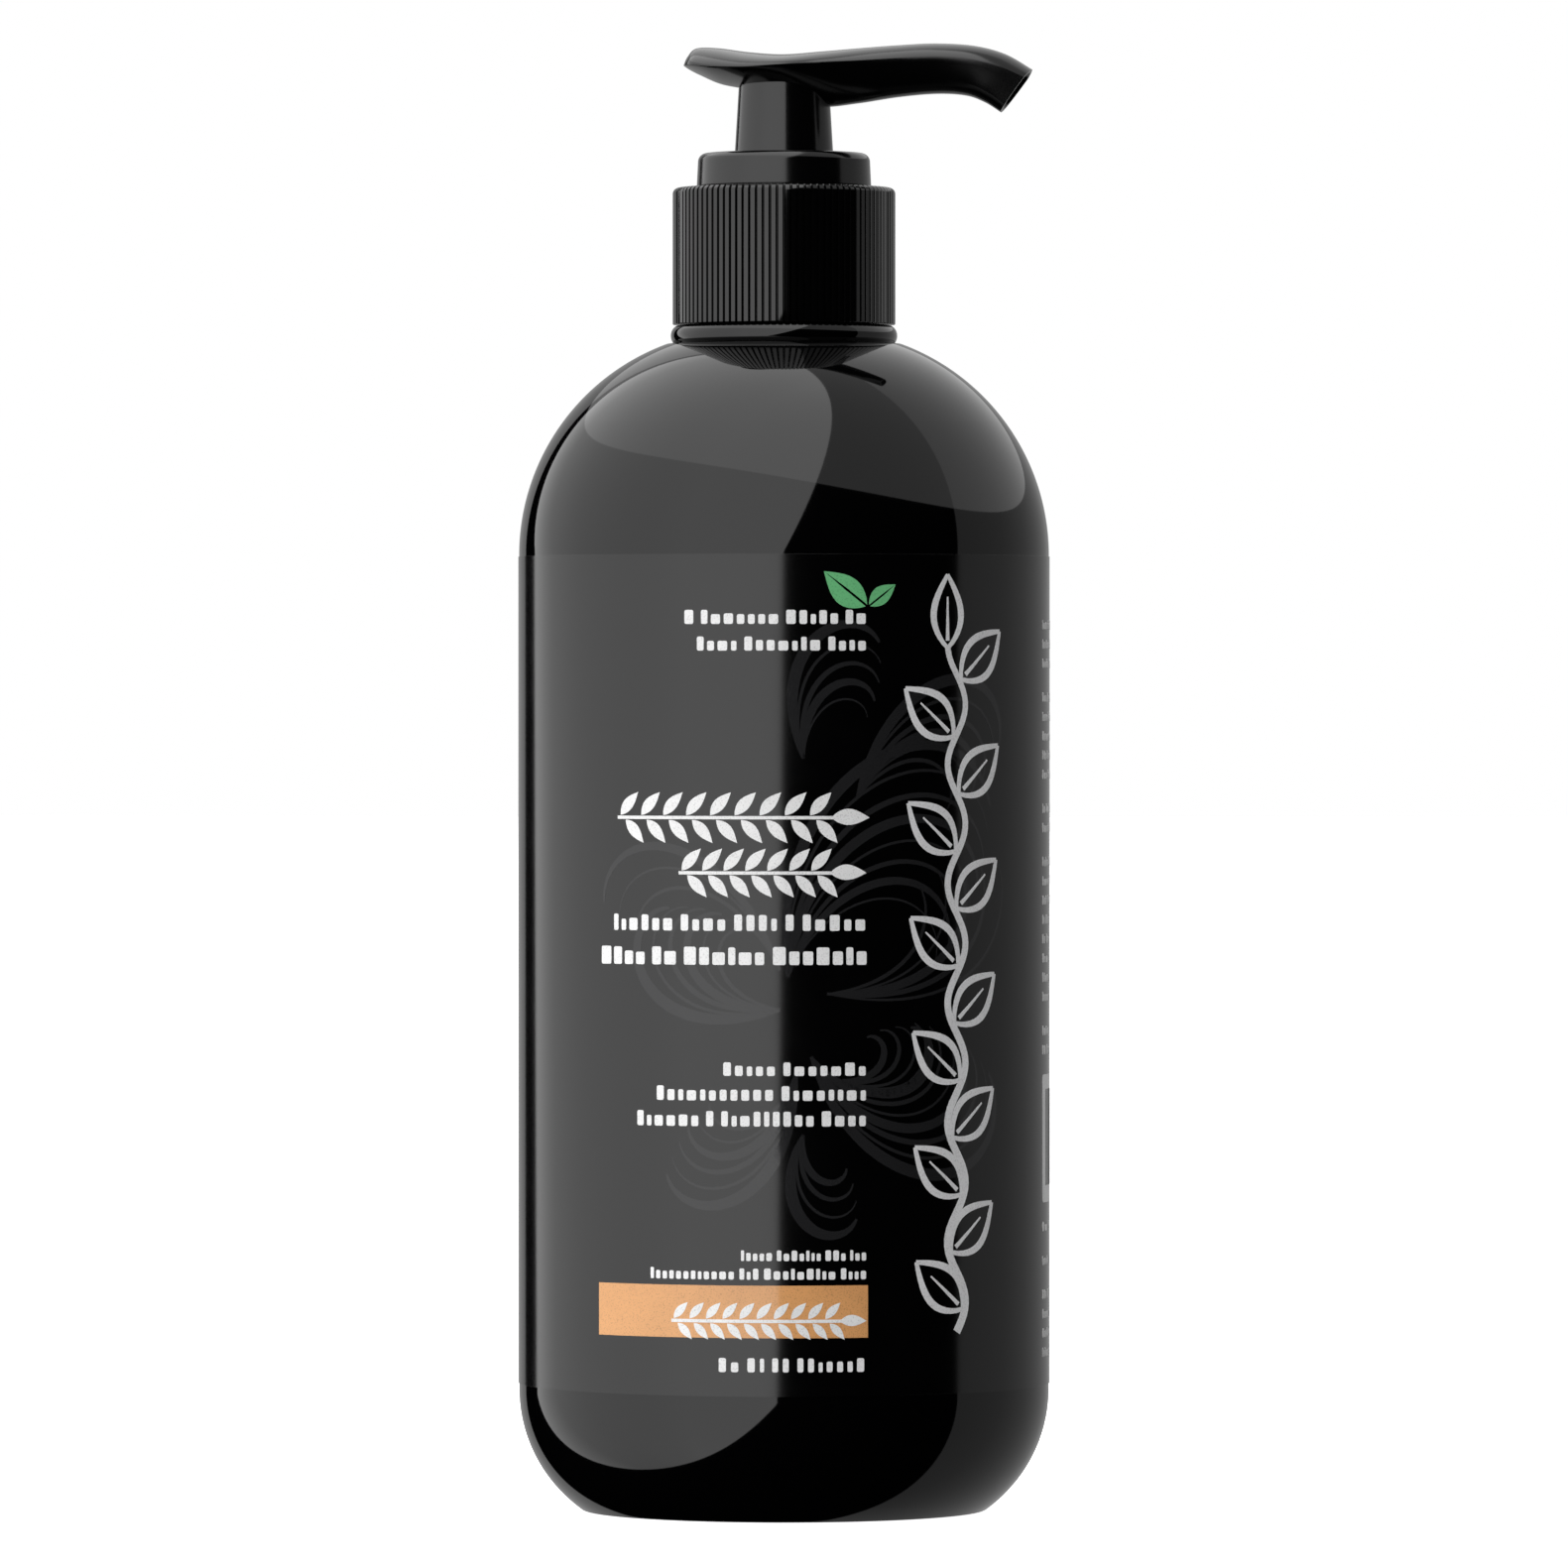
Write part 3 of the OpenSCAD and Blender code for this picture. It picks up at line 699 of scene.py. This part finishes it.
# Where the rows end on the right, and the rows: left end, bottom, top, blocks in each run, weight.
RIGHT = 12.2
SMALL_ROWS = [
    (-11.5, 114.7, 117.2, (1, 7, 5, 2), 0.8), (-9.8, 111.3, 113.8, (4, 7, 4), 0.8),
    (-22.0, 75.5, 78.4, (6, 4, 4, 1, 5), 0.7), (-24.1, 71.1, 74.3, (4, 2, 6, 7), 1.15),
    (-6.3, 57.1, 59.5, (5, 7), 0.75), (-15.4, 53.9, 56.5, (11, 8), 0.75),
    (-18.3, 50.6, 53.3, (6, 1, 9, 4), 0.75), (-4.0, 33.6, 35.5, (5, 7, 3, 3), 0.8),
    (-16.3, 31.2, 33.2, (12, 3, 9, 4), 0.8), (-6.9, 19.3, 21.8, (2, 2, 2, 7), 0.45),
]


def open_leaf(s, z, heading, long, wide, heavy):
    """A leaf drawn in strokes: its two edges and its vein."""
    shapes = []
    for side in (1, -1):
        edge = [(long * t, side * swell(t) * (wide - heavy) / 2) for t in (i / 14 for i in range(15))]
        shapes.append(stroke(turned(edge, s, z, heading),
                             lambda t: heavy * (0.55 + 0.45 * math.sin(math.pi * t))))
    vein = [(long * (0.1 + 0.6 * i / 14), 0.0) for i in range(15)]
    shapes.append(stroke(turned(vein, s, z, heading), lambda t: heavy * 0.6 * (1 - 0.6 * t)))
    return shapes


def sprig():
    """A climbing stem with open leaves on alternate sides."""
    low, high, mid, steps = 24.5, 112.5, 25.5, 120
    line = [(mid + 1.5 * math.sin(i / steps * 11.5 * math.pi), low + (high - low) * i / steps)
            for i in range(steps + 1)]
    shapes = [stroke(line, lambda t: 1.2 - 0.35 * t)]
    for k in range(12):
        side = 1 if k % 2 else -1
        s, z = line[round((k + 0.45) * 10)]
        shapes += open_leaf(s + 0.4 * side, z, 90 - 50 * side, 9.6, 6.1, 0.98)
    shapes += open_leaf(line[-1][0], high - 0.4, 90, 9.4, 5.4, 0.95)
    return shapes


# Plumes behind the rows: root s and z, heading, length, degrees turned, how much tighter the tips
# turn, number of strands, and the fan's angle.
PLUMES = [
    (2, 70, 84, 54, -175, 3, 8, 30), (1, 71, 108, 50, 165, 6, 6, 16), (7, 68, -6, 42, 130, 4, 6, 22),
    (11, 93, 66, 36, -185, 4, 6, 24), (1, 66, 186, 32, -200, 5, 6, 28), (3, 58, 262, 30, -165, 5, 6, 18),
    (5, 60, 296, 44, 200, 3, 7, 22), (4, 98, 100, 26, -175, 5, 5, 24), (9, 57, 340, 20, 210, 4, 4, 24),
    (4, 50, 250, 20, 190, 4, 4, 20),
]


def scrolls():
    """Faint curling plumes behind the rows, kept to the front of the label."""
    shapes = [shape for values in PLUMES for shape in plume(*values)]
    return [(left, right) for left, right in shapes
            if all(-24.5 < s < 37.5 and 34.5 < z < 122 for s, z in left + right)]


def back_panel():
    """Plain rows above and below the code block on the back of the label."""
    rng = random.Random(11)
    shapes, z = [], 116.0
    while z > 20:
        if 38.5 < z < 60:
            z = 38.0
        runs = [rng.randint(2, 8) for _ in range(6)]
        short = rng.random() < 0.25
        shapes += word_row(47, 62 if short else 78, z - 1.7, z, runs[:3] if short else runs, 0.7)
        z -= 4.4 if short else 2.5
    return shapes


def code_block():
    """A white panel and its stripes."""
    rng = random.Random(5)
    panel = [bar(47, 68, 40.3, 56.9, 0.6)]
    stripes, s = [], 49.0
    while s < 66:
        wide = rng.choice((0.25, 0.25, 0.5, 0.75))
        stripes.append([(s, 42.5), (s + wide, 42.5), (s + wide, 55.0), (s, 55.0)])
        s += wide + rng.choice((0.25, 0.5, 0.5))
    return panel, stripes


class OILBOTTLE_OT_print(bpy.types.Operator):
    """Builds the print: plain rows, garlands, band, leaf pair, climbing sprig and faint scrolls"""

    bl_idname = "oilbottle.print"
    bl_label = "Label print"

    def execute(self, context):
        sizes, tones = context.scene.oil_label, context.scene.oil_finish
        white = ink_finish("White ink", tones.white_ink)
        rows = [block for s0, z0, z1, words, heavy in SMALL_ROWS
                for block in word_row(s0, RIGHT, z0, z1, words, heavy)]
        titles = garland(-21.4, 12.6, 87.1, 93.8) + garland(-12.3, RIGHT, 80.2, 86.6)
        pair = leaf(12.2, 117.5, 142, 7.1, 4.0, 0.3) + leaf(12.6, 117.5, 37, 4.5, 2.4, 0.25)
        panel, stripes = code_block()
        # Each sheet: name, shapes, thickness and lift in thicknesses of ink, and finish.
        sheets = [
            ("print_scrolls", scrolls(), 0.4, 0, ink_finish("Faint ink", tones.faint_ink, 0.1)),
            ("print_rows", rows, 1, 0, white),
            ("print_garlands", titles, 1, 0, white),
            ("print_band", [bar(-24.6, 12.4, 24.1, 30.8, 0.05)], 1, 0, ink_finish("Tan ink", tones.tan_ink)),
            ("print_band_garland", garland(-13.3, RIGHT, 23.9, 28.6), 1, 1, white),
            ("print_leaf_pair", pair, 1, 0, ink_finish("Green ink", tones.green_ink)),
            ("print_sprig", sprig(), 1, 0.5, ink_finish("Grey ink", tones.grey_ink)),
            ("print_back_rows", back_panel(), 1, 0, white),
            ("print_code_panel", panel, 1, 0, white),
            ("print_code_stripes", stripes, 1, 1, ink_finish("Stripe ink", tones.film, 0.1)),
        ]
        for name, shapes, thick, lift, material in sheets:
            piece = print_sheet(name, shapes, sizes.ink * thick, sizes.turn, sizes.ink * lift)
            place_piece(piece, "container", material, "label_film")
        return {"FINISHED"}


# -------- closure

# Columns of the collar across one rib: how far round its share, and whether in the groove.
RIB_COLUMNS = [(0.0, 0), (0.15, 0), (0.3, 0), (0.45, 0), (0.6, 0), (0.79, 1), (0.81, 1)]


class OILBOTTLE_OT_collar(bpy.types.Operator):
    """Builds the ribbed closure collar with its eased top edge and inner thread"""

    bl_idname = "oilbottle.collar"
    bl_label = "Closure collar"

    def execute(self, context):
        sizes, tones = context.scene.oil_pump, context.scene.oil_finish
        edge, roof = sizes.collar_edge, COLLAR_TOP - 1.5 * MM
        bore, hole, foot = 12.3 * MM, 10.4 * MM, 0.12 * MM
        inner = [(COLLAR_R - edge - 0.12 * MM, COLLAR_TOP), (hole + 0.2 * MM, COLLAR_TOP),
                 (hole, COLLAR_TOP - 0.2 * MM), (hole, roof), (bore, roof),
                 (bore, COLLAR_LOW + 0.3 * MM), (bore + 0.3 * MM, COLLAR_LOW)]
        low, high = COLLAR_LOW + foot, COLLAR_TOP - edge
        bm = bmesh.new()
        columns = []
        for k in range(sizes.ribs):
            for where, grooved in RIB_COLUMNS:
                a, cut = 2 * math.pi * (k + where) / sizes.ribs, sizes.rib_depth * grooved
                points = arc(COLLAR_R - cut - foot, low, foot, -90, 0, 4)
                points += [(COLLAR_R - cut, low + (high - low) * i / 12) for i in range(1, 12)]
                points += arc(COLLAR_R - edge, high, edge - cut, 0, 90, 12) + inner
                columns.append([bm.verts.new(around(r, a, z)) for r, z in points])
        grid_faces(bm, columns + columns[:1])
        pitch = context.scene.oil_bottle.thread_pitch
        thread_ridge(bm, bore, -1, LIP_Z - THREAD_DROP - 2 * pitch, pitch, 1.5)
        piece = finish_mesh("closure_collar_ribbed", bm, 28.0)
        gloss = black_gloss("Collar gloss", tones.pump, 0.08, 0.02, 0.000002)
        place_piece(piece, "closure", gloss, "pump_black", "closure_collar")
        return {"FINISHED"}


class OILBOTTLE_OT_chaplet(bpy.types.Operator):
    """Builds the smooth chaplet ring with its rounded edge, snap sleeve and stem guide"""

    bl_idname = "oilbottle.chaplet"
    bl_label = "Chaplet"

    def execute(self, context):
        sizes, tones = context.scene.oil_pump, context.scene.oil_finish
        edge, bore = sizes.chaplet_edge, sizes.column_radius + 0.55 * MM
        sleeve, guide, snap = 8.36 * MM, 3.28 * MM, 10.2 * MM
        low, floor, flange = CHAPLET_LOW, CHAPLET_LOW + 1.5 * MM, COLLAR_TOP - 1.58 * MM
        seat, ease, rim = COLLAR_TOP + 0.2 * MM, 0.1 * MM, 0.3 * MM
        points = [(bore, floor), (guide, floor), (guide, low), (sleeve - 0.3 * MM, low),
                  (sleeve, low + 0.4 * MM), (sleeve, flange), (snap, flange), (snap, seat),
                  (CHAPLET_R - ease, seat), (CHAPLET_R, seat + ease)]
        points += arc(CHAPLET_R - 0.15 * MM - edge, CHAPLET_TOP - edge, edge, 0, 90, 16)
        points += arc(bore + rim, CHAPLET_TOP - rim, rim, 90, 180, 6)
        piece = lathe_piece("chaplet_ring", points, 256)
        gloss = black_gloss("Chaplet gloss", tones.pump, 0.15, 0.02, 0.000002)
        place_piece(piece, "engine", gloss, "pump_black", "chaplet")
        return {"FINISHED"}


# -------- head

# Stations of the head from the thumb rest's tip to the nozzle, in millimetres above the chaplet:
# top x, top z, bottom x, bottom z, half width, share of the height above the side edge, the
# roundness of the underside, and how far the sides lean in towards the bottom.
HEAD_STATIONS = [
    (-12.9, 11.8, -12.9, 11.3, 2.2, 0.8, 1.5, 0), (-12.45, 12.8, -12.3, 10.9, 4.4, 0.75, 1.4, 0),
    (-11.4, 13.75, -10.9, 10.2, 6.4, 0.7, 1.3, 0), (-8.6, 13.75, -8.2, 9.05, 8.3, 0.59, 1.3, 0),
    (-4.5, 13.2, -4.5, 8.3, 9.0, 0.47, 1.4, 0.05), (0, 12.9, 0, 7.2, 8.3, 0.3, 1.7, 0.18),
    (5, 13.25, 4.8, 6.05, 6.5, 0.25, 2.2, 0.34), (10, 13.65, 9.6, 6.45, 5.1, 0.265, 2.6, 0.42),
    (15, 14.0, 15, 7.25, 4.5, 0.285, 2.7, 0.4), (20, 14.2, 20, 7.65, 4.2, 0.295, 2.7, 0.34),
    (25, 13.85, 23.8, 7.4, 3.8, 0.3, 2.7, 0.18), (29, 12.75, 26.3, 6.5, 3.35, 0.29, 2.7, 0.06),
    (32.45, 10.75, 28.35, 5.2, 2.85, 0.22, 2.7, 0),
]
EDGE_ROUND = 1.6
LAST_STATION = len(HEAD_STATIONS) - 1
COLUMN_DROP, COLUMN_RISE, COLUMN_TAPER = 5.3 * MM, 10.2 * MM, 0.059


def head_ring(place, count):
    """One ring of the head: a rolled upper half over the side edge and the underside below it."""
    tx, tz, bx, bz, half, share, belly, lean = through(HEAD_STATIONS, place)
    ex, ez = tx + (bx - tx) * share, tz + (bz - tz) * share
    ring = []
    for k in range(count):
        a = 2 * math.pi * k / count
        s, c = math.sin(a), math.cos(a)
        up = s >= -1e-12
        x, z = (tx, tz) if up else (bx, bz)
        exponent = 2 / (EDGE_ROUND if up else belly)
        rise = abs(s) ** exponent if abs(s) > 1e-12 else 0.0
        reach = math.copysign(abs(c) ** exponent, c) if abs(c) > 1e-12 else 0.0
        side = half * reach * (1 if up else 1 - lean * rise)
        ring.append(((ex + (x - ex) * rise) * MM, side * MM, CHAPLET_TOP + (ez + (z - ez) * rise) * MM))
    return ring


def oil_way_ring(place, count, share, narrow):
    """One ring of the spout's oil way: a round tube that widens to a mouth of the spout's section."""
    tx, tz, bx, bz = through(HEAD_STATIONS, min(place, LAST_STATION))[:4]
    span = math.hypot(tx - bx, tz - bz)
    ux, uz = (tx - bx) / span, (tz - bz) / span
    beyond = max(0.0, place - LAST_STATION) * MM
    mx, mz = (tx + bx) / 2 * MM, CHAPLET_TOP + (tz + bz) / 2 * MM
    wide = min(1.0, max(0.0, (place - LAST_STATION + 1.4) / 1.4) ** 1.5)
    ring = []
    for k, (x, y, z) in enumerate(head_ring(min(place, LAST_STATION), count)):
        a = 2 * math.pi * k / count
        up, across = narrow * math.sin(a) * MM, narrow * math.cos(a) * MM
        ring.append((mx + ux * up + ((x - mx) * share - ux * up) * wide + uz * beyond,
                     across + (y * share - across) * wide,
                     mz + uz * up + ((z - mz) * share - uz * up) * wide - ux * beyond))
    return ring


class OILBOTTLE_OT_head(bpy.types.Operator):
    """Builds the pump head: thumb rest, drooping spout with its mouth, and tapered column"""

    bl_idname = "oilbottle.head"
    bl_label = "Pump head"

    def execute(self, context):
        sizes, tones = context.scene.oil_pump, context.scene.oil_finish
        head = tube_piece("actuator_head", [head_ring(LAST_STATION * i / 132, 88) for i in range(133)])
        low, high = CHAPLET_TOP - COLUMN_DROP, CHAPLET_TOP + COLUMN_RISE
        wide = sizes.column_radius + COLUMN_DROP * COLUMN_TAPER
        narrow = sizes.column_radius - COLUMN_RISE * COLUMN_TAPER
        socket, boss, skirt, ease = 3.26 * MM, 4.16 * MM, 5 * MM, 0.15 * MM
        ceiling, boss_foot = CHAPLET_TOP + 5 * MM, low + 1.7 * MM
        socket_top = ceiling + 1.9 * MM
        column = [(wide - ease, low), (wide, low + ease), (narrow, high), (0, high),
                  (0, socket_top), (socket, socket_top), (socket, boss_foot), (boss, boss_foot),
                  (boss, ceiling), (skirt, ceiling), (skirt, low)]
        apply_boolean(head, lathe_piece("column_tool", column, 160), "UNION")
        start, steps = 8, 22
        oil_way = [oil_way_ring(start + (LAST_STATION - start) * i / steps, 72, 0.88, 1.6)
                   for i in range(steps + 2)]
        apply_boolean(head, tube_piece("oil_way_tool", oil_way), "DIFFERENCE")
        hole = [(0, low), (socket, low), (socket, socket_top), (0, socket_top)]
        apply_boolean(head, lathe_piece("socket_tool", hole, 64), "DIFFERENCE")
        smooth(head.data, 38)
        gloss = black_gloss("Head gloss", tones.pump, 0.14, 0.03, 0.000003)
        place_piece(head, "head", gloss, "pump_black", "actuator")
        return {"FINISHED"}


# -------- pump engine


def paler(tint, times):
    return tuple(min(1.0, c * times) for c in tint)


class OILBOTTLE_OT_engine(bpy.types.Operator):
    """Builds the wound return spring and gives the pump's inner parts their finishes"""

    bl_idname = "oilbottle.engine"
    bl_label = "Pump engine"

    def execute(self, context):
        sizes, tones = context.scene.oil_pump, context.scene.oil_finish
        wire, a_turn = sizes.wire_radius, 48
        coil, low, high = SPRING_R - wire, SPRING_LOW + wire, SPRING_TOP - wire
        steps = sizes.spring_turns * a_turn
        rings = []
        for i in range(steps + 1):
            climb = max(0.0, min(1.0, (i - a_turn) / (steps - 2 * a_turn)))
            flat = (min(i, a_turn) + max(0, i - steps + a_turn)) / a_turn
            z = low + (high - low - 4 * wire) * climb + 2 * wire * flat
            a = 2 * math.pi * i / a_turn
            rings.append([around(coil + wire * math.cos(b), a, z + wire * math.sin(b))
                          for b in even_angles(14)])
        spring = tube_piece("return_spring_coil", rings, 60.0)
        wound = steel_finish("Spring wire", tones.steel, 0.22, 0.2)
        place_piece(spring, "engine", wound, "spring_steel", "return_spring")
        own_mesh(spring)
        natural = natural_finish("Natural plastic", tones.natural)
        kept = {"pump_housing": natural, "piston_core": natural, "upper_stem": natural,
                "piston": natural_finish("Soft plastic", paler(tones.natural, 1.1), 0.45),
                "dip_tube": natural_finish("Tube plastic", paler(tones.natural, 1.12), 0.22),
                "neck_gasket": natural_finish("Gasket foam", tones.natural, 0.8),
                "inlet_ball": steel_finish("Ball steel", tones.steel, 0.05, 0.06)}
        for name, material in kept.items():
            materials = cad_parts[name].data.materials
            materials.clear()
            materials.append(material)
        return {"FINISHED"}


# -------- stage

# Each light: name, which radiance, direction from the camera's side of the bottle (azimuth to the
# right, elevation), roll, the half sizes it shows at a distance of one, and how bright it is across
# its width, as (place, share) pairs.
LIGHTS = [
    ("Side light", "side_light", -69.7, 27.1, 11.2, 2.86, 3.88,
     [(0.0, 0.9), (0.1, 0.85), (0.257, 0.7), (0.376, 0.79), (0.438, 0.86), (0.518, 0.93), (0.58, 1.0)]),
    ("Top light", "top_light", 134.4, 74.1, 0.0, 1.94, 1.92, [(0.0, 1.0), (1.0, 1.0)]),
    ("Back light", "back_light", 144.3, -1.8, 0.0, 2.0, 2.18,
     [(0.0, 0.75), (0.19, 0.73), (0.33, 0.68), (0.43, 0.74), (0.5, 0.83), (0.55, 0.9), (0.62, 1.0)]),
]
LIGHT_DISTANCE, LIGHT_AIM = 2.5, 0.095
FLOOR_SIZE, FLOOR_DROP = 9.0, 0.00002


def lamp_gradient(data, stops):
    """Makes a light brighter towards one side, as a soft box with its lamp off centre."""
    data.use_nodes = True
    tree = data.node_tree
    across = add(tree, "ShaderNodeSeparateXYZ")
    tree.links.new(add(tree, "ShaderNodeNewGeometry").outputs["Parametric"], across.inputs[0])
    ramp = add(tree, "ShaderNodeValToRGB")
    for k, (place, share) in enumerate(stops):
        stop = ramp.color_ramp.elements[k] if k < 2 else ramp.color_ramp.elements.new(place)
        stop.position, stop.color = place, (share, share, share, 1)
    tree.links.new(across.outputs["X"], ramp.inputs["Fac"])
    tree.links.new(ramp.outputs["Color"], tree.nodes["Emission"].inputs["Color"])


def stand(name, data, place, turn):
    """Puts a light or a camera at a place, with a turn."""
    thing = bpy.data.objects.new(name, data)
    thing.location = place
    thing.rotation_mode = "QUATERNION"
    thing.rotation_quaternion = turn
    bpy.context.scene.collection.objects.link(thing)
    return thing


class OILBOTTLE_OT_stage(bpy.types.Operator):
    """Builds the pale floor, the three soft lights, the white world and the camera"""

    bl_idname = "oilbottle.stage"
    bl_label = "Stage"

    def execute(self, context):
        studio, scene = context.scene.oil_studio, context.scene
        toward = Vector((math.sin(studio.turn), -math.cos(studio.turn), 0))
        right = Vector((math.cos(studio.turn), math.sin(studio.turn), 0))
        for name, strength, azimuth, elevation, roll, half_w, half_h, stops in LIGHTS:
            a, e = math.radians(azimuth), math.radians(elevation)
            way = (right * math.sin(a) + toward * math.cos(a)) * math.cos(e) + Vector((0, 0, math.sin(e)))
            data = bpy.data.lights.new(name, "AREA")
            data.shape = "ELLIPSE"
            data.size, data.size_y = 2 * half_w * LIGHT_DISTANCE, 2 * half_h * LIGHT_DISTANCE
            data.energy = getattr(studio, strength) * math.pi ** 2 * data.size * data.size_y / 4
            lamp_gradient(data, stops)
            rolled = way.to_track_quat("Z", "Y") @ Quaternion((0, 0, 1), math.radians(roll))
            place = Vector((0, 0, LIGHT_AIM)) + way * LIGHT_DISTANCE
            stand(name, data, place, rolled).visible_camera = False
        bm = bmesh.new()
        bmesh.ops.create_grid(bm, x_segments=8, y_segments=8, size=FLOOR_SIZE)
        bmesh.ops.translate(bm, verts=bm.verts, vec=(0, 0, -FLOOR_DROP))
        floor = finish_mesh("studio_floor", bm)
        paper = bpy.data.materials.new("Floor paper")
        paper.use_nodes = True
        set_inputs(paper.node_tree.nodes["Principled BSDF"], Base_Color=(0.9, 0.9, 0.9, 1), Roughness=0.9,
                   Emission_Color=(1, 1, 1, 1), Emission_Strength=1.0)
        floor.data.materials.append(paper)
        floor.visible_glossy = floor.visible_diffuse = floor.visible_shadow = False
        world = bpy.data.worlds.new("Studio white")
        world.use_nodes = True
        tree = world.node_tree
        white = set_inputs(tree.nodes["Background"], Color=(1, 1, 1, 1), Strength=1.0)
        dark = set_inputs(add(tree, "ShaderNodeBackground"), Color=(0, 0, 0, 1))
        path, mix = add(tree, "ShaderNodeLightPath"), add(tree, "ShaderNodeMixShader")
        tree.links.new(path.outputs["Is Camera Ray"], mix.inputs[0])
        tree.links.new(dark.outputs[0], mix.inputs[1])
        tree.links.new(white.outputs[0], mix.inputs[2])
        tree.links.new(mix.outputs[0], tree.nodes["World Output"].inputs["Surface"])
        scene.world = world
        data = bpy.data.cameras.new("Camera")
        data.lens, data.sensor_width = studio.lens, 36.0
        data.clip_start, data.clip_end = 0.05, 60.0
        eye = toward * studio.distance + Vector((0, 0, studio.eye))
        look = (Vector((0, 0, studio.aim)) - eye).to_track_quat("-Z", "Y")
        scene.camera = stand("Camera", data, eye, look)
        scene.view_settings.view_transform = "Standard"
        return {"FINISHED"}


class OILBOTTLE_PT_panel(bpy.types.Panel):
    """Lists the bottle's builders and their settings"""

    bl_idname = "OILBOTTLE_PT_panel"
    bl_label = "Oil bottle"
    bl_space_type = "VIEW_3D"
    bl_region_type = "UI"
    bl_category = "Oil bottle"

    def draw(self, context):
        for operator in OPERATORS:
            self.layout.operator(operator.bl_idname)
        for name, kind in SETTINGS.items():
            box = self.layout.box()
            box.label(text=kind.__doc__)
            for key in kind.__annotations__:
                box.prop(getattr(context.scene, name), key)


OPERATORS = [OILBOTTLE_OT_stage, OILBOTTLE_OT_bottle, OILBOTTLE_OT_label, OILBOTTLE_OT_print,
             OILBOTTLE_OT_collar, OILBOTTLE_OT_chaplet, OILBOTTLE_OT_head, OILBOTTLE_OT_engine]


def register():
    for kind in [*SETTINGS.values(), *OPERATORS, OILBOTTLE_PT_panel]:
        bpy.utils.register_class(kind)
    for name, kind in SETTINGS.items():
        setattr(bpy.types.Scene, name, PointerProperty(type=kind))


def unregister():
    for name in SETTINGS:
        delattr(bpy.types.Scene, name)
    for kind in [OILBOTTLE_PT_panel, *reversed(OPERATORS), *SETTINGS.values()]:
        bpy.utils.unregister_class(kind)


def main():
    register()
    bpy.ops.oilbottle.stage()
    bpy.ops.oilbottle.bottle()
    bpy.ops.oilbottle.label()
    bpy.ops.oilbottle.print()
    bpy.ops.oilbottle.collar()
    bpy.ops.oilbottle.chaplet()
    bpy.ops.oilbottle.head()
    bpy.ops.oilbottle.engine()


if __name__ == "__main__":
    main()
